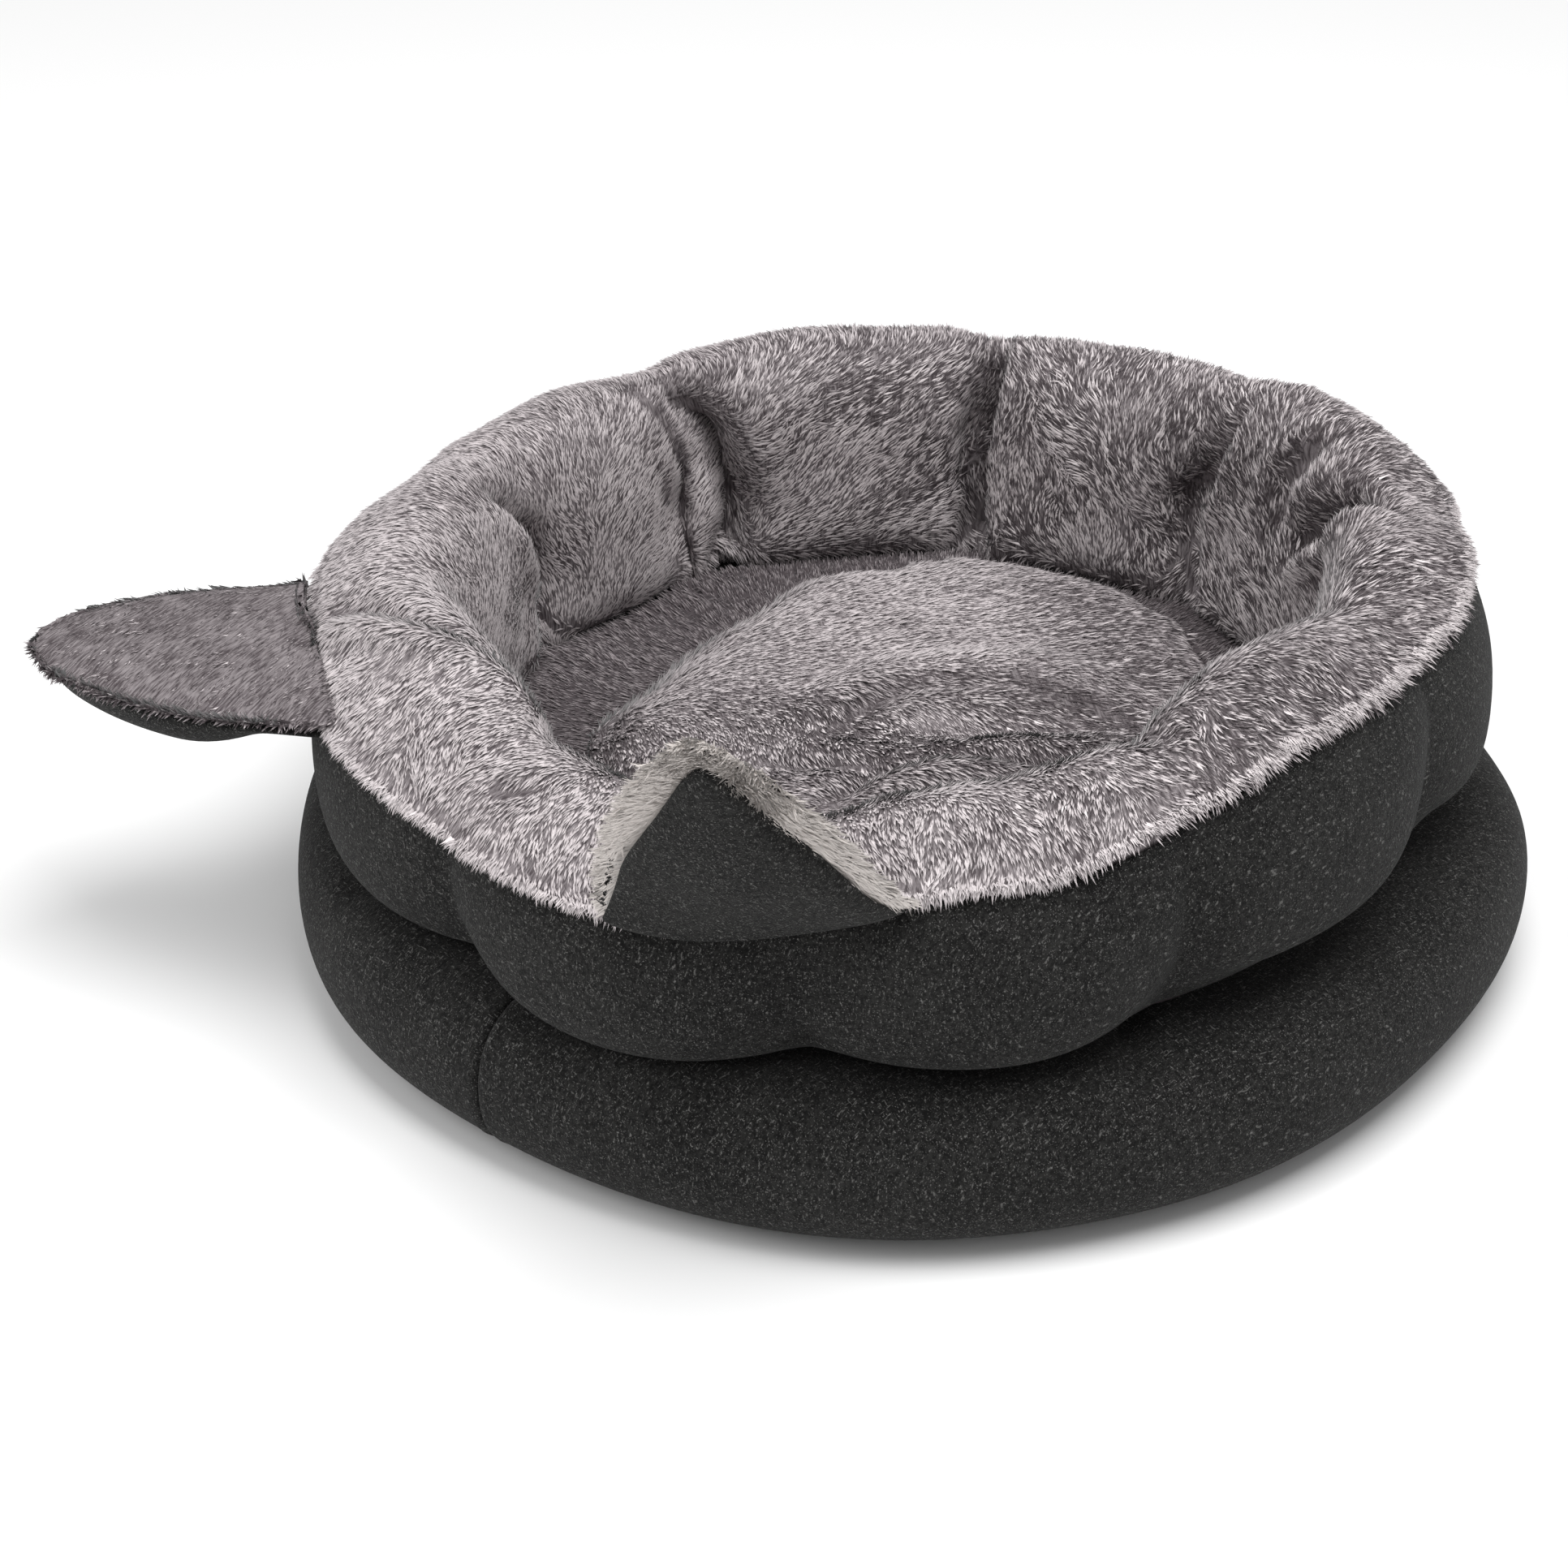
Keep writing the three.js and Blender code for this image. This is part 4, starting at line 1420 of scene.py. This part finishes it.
@dataclass
class Floor:
    """Plush floor panel inside the ring.

    The ring hides its margin, and the cushion hides its middle. Its pile and backing are darkened as painted
    shade down among the ring and the cushion.
    """

    node: str = "floor_plush"
    pile_depth: float = 2.5 * MM
    grain: float = 3.0 * MM
    margin: tuple[float, float] = (0.135, 0.150)
    open_rim: tuple[float, float] = (0.098, 0.168)
    # The pile's low tint is painted shade, down among the ring and the cushion
    cut: PileCut = field(
        default_factory=lambda: PileCut(spacing=1.3 * MM, lie=0.95, unruly=0.05, tint=0.13, seed=31)
    )

    def build(self, backing: bpy.types.Material, pile: bpy.types.Material) -> None:
        """Builds the panel and its pile.

        Args:
            backing: The finish of the plush's backing.
            pile: The finish of the pile.
        """
        cloth = Cloth(self.node, "floor_backing")
        cloth.remesh(self.grain, 0)
        points = cloth.points
        top = points[:, 2] > points[:, 2].mean()
        points[top, 2] -= self.pile_depth * (1 - smooth_step(polar(points[top])[1], *self.margin))
        cloth.move(points)
        cloth.chart(cloth.points[:, 0], cloth.points[:, 1])
        cloth.dress(backing, Slot.PLUSH, self.node)
        Pile(self.cut, self.comb, self.cover).grow(cloth, "floor_pile", pile)

    def cover(self, points: np.ndarray, normals: np.ndarray) -> np.ndarray:
        """Pile only on the open rim of the panel's top, outside the cushion."""
        radius = polar(points)[1]
        return (normals[:, 2] > 0.5) * (radius > self.open_rim[0]) * (radius < self.open_rim[1])

    def comb(self, points: np.ndarray, normals: np.ndarray) -> np.ndarray:
        """The pile runs outward and a little around."""
        return points * [1, 1, 0] + [0.02, -0.03, 0]


@dataclass
class Cushion:
    """Loose plush cushion.

    The folds' marks are places in plan, in millimetres.
    """

    node: str = "cushion"
    pile_depth: float = 5.0 * MM
    grain: float = 4.0 * MM
    swell: float = 3.0 * MM
    lie_across: Triple = (0.42, 0.9, 0.3)
    lie_along: Triple = (0.9, -0.42, 0.3)
    cut: PileCut = field(
        default_factory=lambda: PileCut(spacing=1.2 * MM, unruly=0.08, calm=0.6, tint=0.38, seed=21)
    )
    folds: list[Fold] = field(
        default_factory=lambda: [
            Fold(
                ((46, -84), (46, -66), (47, -50), (52, -34), (62, -20), (76, -4), (90, 12)),
                9 * MM, 5 * MM, 1, 0.5, 0.6,
            ),
            Fold(((8, -50), (2, -25), (4, 0), (26, 32), (54, 49), (76, 58)), 6 * MM, 6 * MM, -1, 0.5, 0.5),
            Fold(((4, -80), (22, -66), (34, -48), (36, -28)), 5 * MM, 5 * MM, -1),
        ]
    )

    def build(self, backing: bpy.types.Material, pile: bpy.types.Material) -> None:
        """Builds the cushion and its pile.

        Args:
            backing: The finish of the plush's backing.
            pile: The finish of the pile.
        """
        cloth = Cloth(self.node, "cushion_backing")
        cloth.remesh(self.grain, 4)
        up = self.cover(cloth.points, cloth.normals)
        cloth.move(cloth.points - cloth.normals * (up * self.pile_depth)[:, None])
        cloth.inflate(self.swell)
        points = cloth.points
        buried = (cloth.normals[:, 2] < 0.2) * 1.0

        def away(x: float, y: float) -> np.ndarray:
            """How far the cushion's top points are from a place in plan, in millimetres."""
            return (points[:, 0] - x * MM) ** 2 + (points[:, 1] - y * MM) ** 2 + buried

        def toward_front(places: np.ndarray) -> np.ndarray:
            """The way to the open front of the bed, at every place."""
            return np.tile(FRONTWARD, (len(places), 1))

        folds = Folds(self.folds, points, away, toward_front)
        cloth.move(folds.press(points, cloth.normals))
        # Painted shade on the backing in the cushion's folds
        cloth.mark(folds.parting_and_shade(cloth.points, 4 * MM)[0])
        cloth.chart(cloth.points @ self.lie_across, cloth.points @ self.lie_along)
        cloth.dress(backing, Slot.PLUSH, self.node)
        plush = Pile(self.cut, self.comb, self.cover, self.ruffle, folds, self.tone)
        plush.grow(cloth, "cushion_pile", pile)

    def cover(self, points: np.ndarray, normals: np.ndarray) -> np.ndarray:
        """Pile on the top and the sides, not on the underside."""
        return smooth_step(normals[:, 2], -0.5, -0.1)

    def right(self, points: np.ndarray) -> np.ndarray:
        """1 on the cushion's right side, seen from the front, and 0 on the rest."""
        return smooth_step(points @ ACROSS, 0.02, 0.09)

    def ruffle(self, points: np.ndarray, normals: np.ndarray) -> np.ndarray:
        """The pile is brushed up along the front of the cushion and on its right side."""
        return 0.05 + 0.8 * hump(points @ FRONTWARD, 0.040, 0.028) + 0.5 * self.right(points)

    def tone(self, points: np.ndarray, normals: np.ndarray) -> np.ndarray:
        """Painted shade: the cushion is darker on its right side."""
        return -0.12 * self.right(points)

    def comb(self, points: np.ndarray, normals: np.ndarray) -> np.ndarray:
        """The pile runs across the bed, more to its front where it is brushed up, and over the edges."""
        band = hump(points @ FRONTWARD, 0.045, 0.03)[:, None]
        return ACROSS * (1 - 0.7 * band) + FRONTWARD * (0.35 + 0.6 * band) + points * [2.0, 2.0, 0]


class EarSide(Enum):
    """The two ears."""

    LEFT = "left"
    FRONT = "front"


@dataclass
class Ear:
    """A padded ear: a plush face and a felt back.

    Heading and rise are the ear's azimuth and elevation in degrees, from its root to its tip.
    """

    side: EarSide
    heading: float
    rise: float
    comb_way: Triple
    fringed: bool
    pile_depth: float = 2.0 * MM
    edge_inset: float = 1.2 * MM
    ruffled: float = 0.1
    point: float = 0.32
    root_tuck: float = 11.0 * MM
    bare_edge: float = 0.8 * MM
    # The face pile's low tint is painted shade, darker than the ring's pile
    cut: PileCut = field(
        default_factory=lambda: PileCut(length=5 * MM, lie=0.985, tint=0.09, unruly=0.12, seed=41)
    )
    fringe: PileCut = field(
        default_factory=lambda: PileCut(
            spacing=0.62 * MM,
            length=7 * MM,
            width=1.4 * MM,
            unruly=0.2,
            tint=0.9,
            calm=0.7,
            free=0.8,
            seed=42,
        )
    )
    root: float = field(init=False)
    length: float = field(init=False)
    middle: np.ndarray = field(init=False)
    away: np.ndarray = field(init=False)
    felt_places: KDTree = field(init=False)

    def build(
        self,
        felt: bpy.types.Material,
        backing: bpy.types.Material,
        pile: bpy.types.Material,
        pale: bpy.types.Material,
    ) -> None:
        """Builds the ear's two halves and its pile.

        Args:
            felt: The felt finish.
            backing: The finish of the plush's backing.
            pile: The finish of the pile.
            pale: The finish of the fringe along its edge.
        """
        name = self.side.value
        back = Cloth(f"ear_{name}_felt", f"ear_{name}_back")
        back.square_up()
        back.subdivide(2)
        if self.fringed:
            back.move(self.pointed(back.points))
        face = Cloth(f"ear_{name}_plush", f"ear_{name}_face")
        face.square_up()
        face.subdivide(2)
        self.measure(face)
        if not self.fringed:
            back.move(self.tucked(back.points))
            face.move(self.tucked(face.points))
        back.dress(felt, Slot.FELT, f"ear_{name}_felt")
        self.compare(face, back)
        inset = self.cover(face.points, face.normals) * self.pile_depth
        inset += (np.abs(face.normals @ self.away) < 0.75) * self.edge_inset
        face.move(face.points - face.normals * (inset * self.free(face.points))[:, None])
        lie = unit(self.comb(face.points[:1], face.normals[:1]))[0]
        face.chart(face.points @ np.cross(lie, self.away), face.points @ lie)
        face.dress(backing, Slot.PLUSH, f"ear_{name}_plush")
        Pile(self.cut, self.comb, self.cover, self.ruffle).grow(face, f"ear_{name}_pile", pile)
        if self.fringed:
            lit = np.array([0, 0, 1.1]) - self.away
            edge = Pile(self.fringe, self.edge_comb, self.edge_cover, facing=lit)
            edge.grow(face, f"ear_{name}_fringe", pale)

    def measure(self, face: Cloth) -> None:
        """Finds where the ear's root is and how long the ear is."""
        reach = face.points @ self.ahead
        self.root, self.length = reach.min(), np.ptp(reach)

    def compare(self, face: Cloth, back: Cloth) -> None:
        """Finds how the ear's halves lie to each other.

        Args:
            face: The plush half.
            back: The felt half.
        """
        self.middle = face.points.mean(0)
        self.away = unit((self.middle - back.points.mean(0))[None])[0]
        self.felt_places = KDTree(len(back.points))
        for number, place in enumerate(back.points):
            self.felt_places.insert(place, number)
        self.felt_places.balance()

    @property
    def ahead(self) -> np.ndarray:
        """The way from the ear's root to its tip."""
        turn, rise = math.radians(self.heading), math.radians(self.rise)
        return np.array([math.cos(turn) * math.cos(rise), math.sin(turn) * math.cos(rise), math.sin(rise)])

    def pointed(self, points: np.ndarray) -> np.ndarray:
        """Draws the ear's sides in toward its tip, so that it ends in a point.

        Args:
            points: Places on the ear.

        Returns:
            The new places.
        """
        turn = math.radians(self.heading)
        across = np.array([-math.sin(turn), math.cos(turn), 0.0])
        reach, side = points @ self.ahead, points @ across
        share = (reach - reach.min()) / np.ptp(reach)
        marks = np.linspace(0, 1, 13)
        rows = [side[np.abs(share - mark) < 0.06] for mark in marks]
        off = side - np.interp(share, marks, [(row.min() + row.max()) / 2 for row in rows])
        return points - np.outer(off * self.point * smooth_step(share, 0.35, 0.95), across)

    def tucked(self, points: np.ndarray) -> np.ndarray:
        """Draws the ear's root on into the ring's pile, from places on the ear to their new places."""
        return points - np.outer((1 - smooth_step(self.share(points), 0.0, 0.2)) * self.root_tuck, self.ahead)

    def share(self, points: np.ndarray) -> np.ndarray:
        """Share of the ear's length at points, from its root."""
        return (points @ self.ahead - self.root) / self.length

    def free(self, points: np.ndarray) -> np.ndarray:
        """1 on the free part of the ear, and 0 at its root."""
        return smooth_step(self.share(points), 0.02, 0.12)

    def cover(self, points: np.ndarray, normals: np.ndarray) -> np.ndarray:
        """Pile on the ear's plush face, and over its edge where no fringe does that."""
        start = 0.55 if self.fringed else -0.55
        return smooth_step(normals @ self.away, start, start + 0.4)

    def edge_cover(self, points: np.ndarray, normals: np.ndarray) -> np.ndarray:
        """Fringe on the margin of the plush half that the felt half leaves bare."""
        bare = np.array([self.felt_places.find(place)[2] for place in points]) > self.bare_edge
        return (bare & (normals @ self.away < 0.35)) * smooth_step(self.share(points), -0.02, 0.03)

    def comb(self, points: np.ndarray, normals: np.ndarray) -> np.ndarray:
        """The pile runs one way over the whole ear."""
        return np.tile(self.comb_way, (len(points), 1))

    def ruffle(self, points: np.ndarray, normals: np.ndarray) -> np.ndarray:
        """The pile is brushed up a little, and alike all over the ear."""
        return np.full(len(points), self.ruffled)

    def edge_comb(self, points: np.ndarray, normals: np.ndarray) -> np.ndarray:
        """The fringe points out of the ear's edge and a little over the felt's side."""
        out = points - self.middle
        return unit(out - np.outer(out @ self.away, self.away)) - self.away * 0.25


@dataclass(frozen=True)
class Lamp:
    """A soft square lamp aimed at the bed.

    Its azimuth is counted from the camera's view, and both angles are in degrees. Distance
    and size are in metres, and power is in watts.
    """

    name: str
    azimuth: float
    elevation: float
    distance: float
    power: float
    size: float = 1.4

    def build(self, camera_turn: float) -> None:
        """Builds the lamp.

        Args:
            camera_turn: The camera's turn about Z, in degrees.
        """
        turn = math.radians(camera_turn - 90 + self.azimuth)
        rise = math.radians(self.elevation)
        light = bpy.data.lights.new(self.name, "AREA")
        light.size = self.size
        light.energy = self.power
        stand = bpy.data.objects.new(self.name, light)
        bpy.context.scene.collection.objects.link(stand)
        place = Vector((math.cos(rise) * math.cos(turn), math.cos(rise) * math.sin(turn), math.sin(rise)))
        stand.location = place * self.distance
        stand.rotation_euler = (-place).to_track_quat("-Z", "Y").to_euler()


@dataclass
class Studio:
    """Pale floor, soft light and the camera, whose lens and clips are in millimetres and metres."""

    camera_turn: float = 52.5
    camera_tilt: float = 59.0
    camera_place: Triple = (1.03905, -0.85869, 0.86463)
    camera_clips: tuple[float, float] = (0.05, 50.0)
    lens: float = 88.85
    film: float = 36.0
    floor_reach: float = 9.0
    floor_level: float = -0.5 * MM
    floor_colour: Colour = (0.92, 0.92, 0.92)
    sky: float = 0.55
    lamps: tuple[Lamp, ...] = (Lamp("key", 40, 76, 2.2, 40), Lamp("fill", -70, 38, 2.4, 16))

    def build(self) -> None:
        """Builds the floor, the lights and the camera."""
        mesh = bpy.data.meshes.new("studio_floor")
        reach = self.floor_reach
        corners = [(-reach, -reach, 0), (reach, -reach, 0), (reach, reach, 0), (-reach, reach, 0)]
        mesh.from_pydata(corners, [], [(0, 1, 2, 3)])
        floor = bpy.data.objects.new("studio_floor", mesh)
        bpy.context.scene.collection.objects.link(floor)
        mesh.materials.append(PlainFinish("studio_white", self.floor_colour).material())
        floor.location.z = self.floor_level
        world = bpy.data.worlds.new("studio")
        bpy.context.scene.world = world
        world.use_nodes = True
        sky = world.node_tree.nodes["Background"]
        sky.inputs["Color"].default_value = (1, 1, 1, 1)
        sky.inputs["Strength"].default_value = self.sky
        for lamp in self.lamps:
            lamp.build(self.camera_turn)
        bpy.context.scene.view_settings.view_transform = "Standard"
        self.aim()

    def aim(self) -> None:
        """Builds the camera and aims it as the photo was taken."""
        camera = bpy.data.cameras.new("camera")
        camera.lens = self.lens
        camera.sensor_width = self.film
        camera.clip_start, camera.clip_end = self.camera_clips
        stand = bpy.data.objects.new("camera", camera)
        bpy.context.scene.collection.objects.link(stand)
        stand.location = self.camera_place
        stand.rotation_euler = Euler((math.radians(self.camera_tilt), 0, math.radians(self.camera_turn)))
        bpy.context.scene.camera = stand


def main() -> None:
    """Builds the bed's pieces in order and the studio around them."""
    logging.basicConfig(level=logging.INFO, format="%(message)s")
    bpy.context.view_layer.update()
    felt = FeltFinish().material()
    backing = BackingFinish().material()
    pile = PileFinish().material()
    Pad().build(felt)
    Bolster().build(felt, backing, pile)
    # The floor's darker backing is painted shade
    shade = BackingFinish("floor_backing_painted_shade", (0.028, 0.023, 0.025), (0.13, 0.115, 0.12)).material()
    Floor().build(shade, pile)
    Cushion().build(backing, pile)
    pale = PileFinish(
        "plush_fringe", (0.34, 0.30, 0.285), (0.46, 0.415, 0.39), (0.78, 0.725, 0.69)
    ).material()
    pale_backing = BackingFinish("fringe_backing", (0.40, 0.38, 0.365), (0.72, 0.69, 0.67)).material()
    left = Ear(EarSide.LEFT, heading=226, rise=1, comb_way=(0.35, -0.95, 0.0), fringed=False)
    left.build(felt, backing, pile, pale)
    front = Ear(EarSide.FRONT, heading=310, rise=61, comb_way=(0.64, -0.77, 0.6), fringed=True)
    front.build(felt, pale_backing, pile, pale)
    Studio().build()


if __name__ == "__main__":
    main()
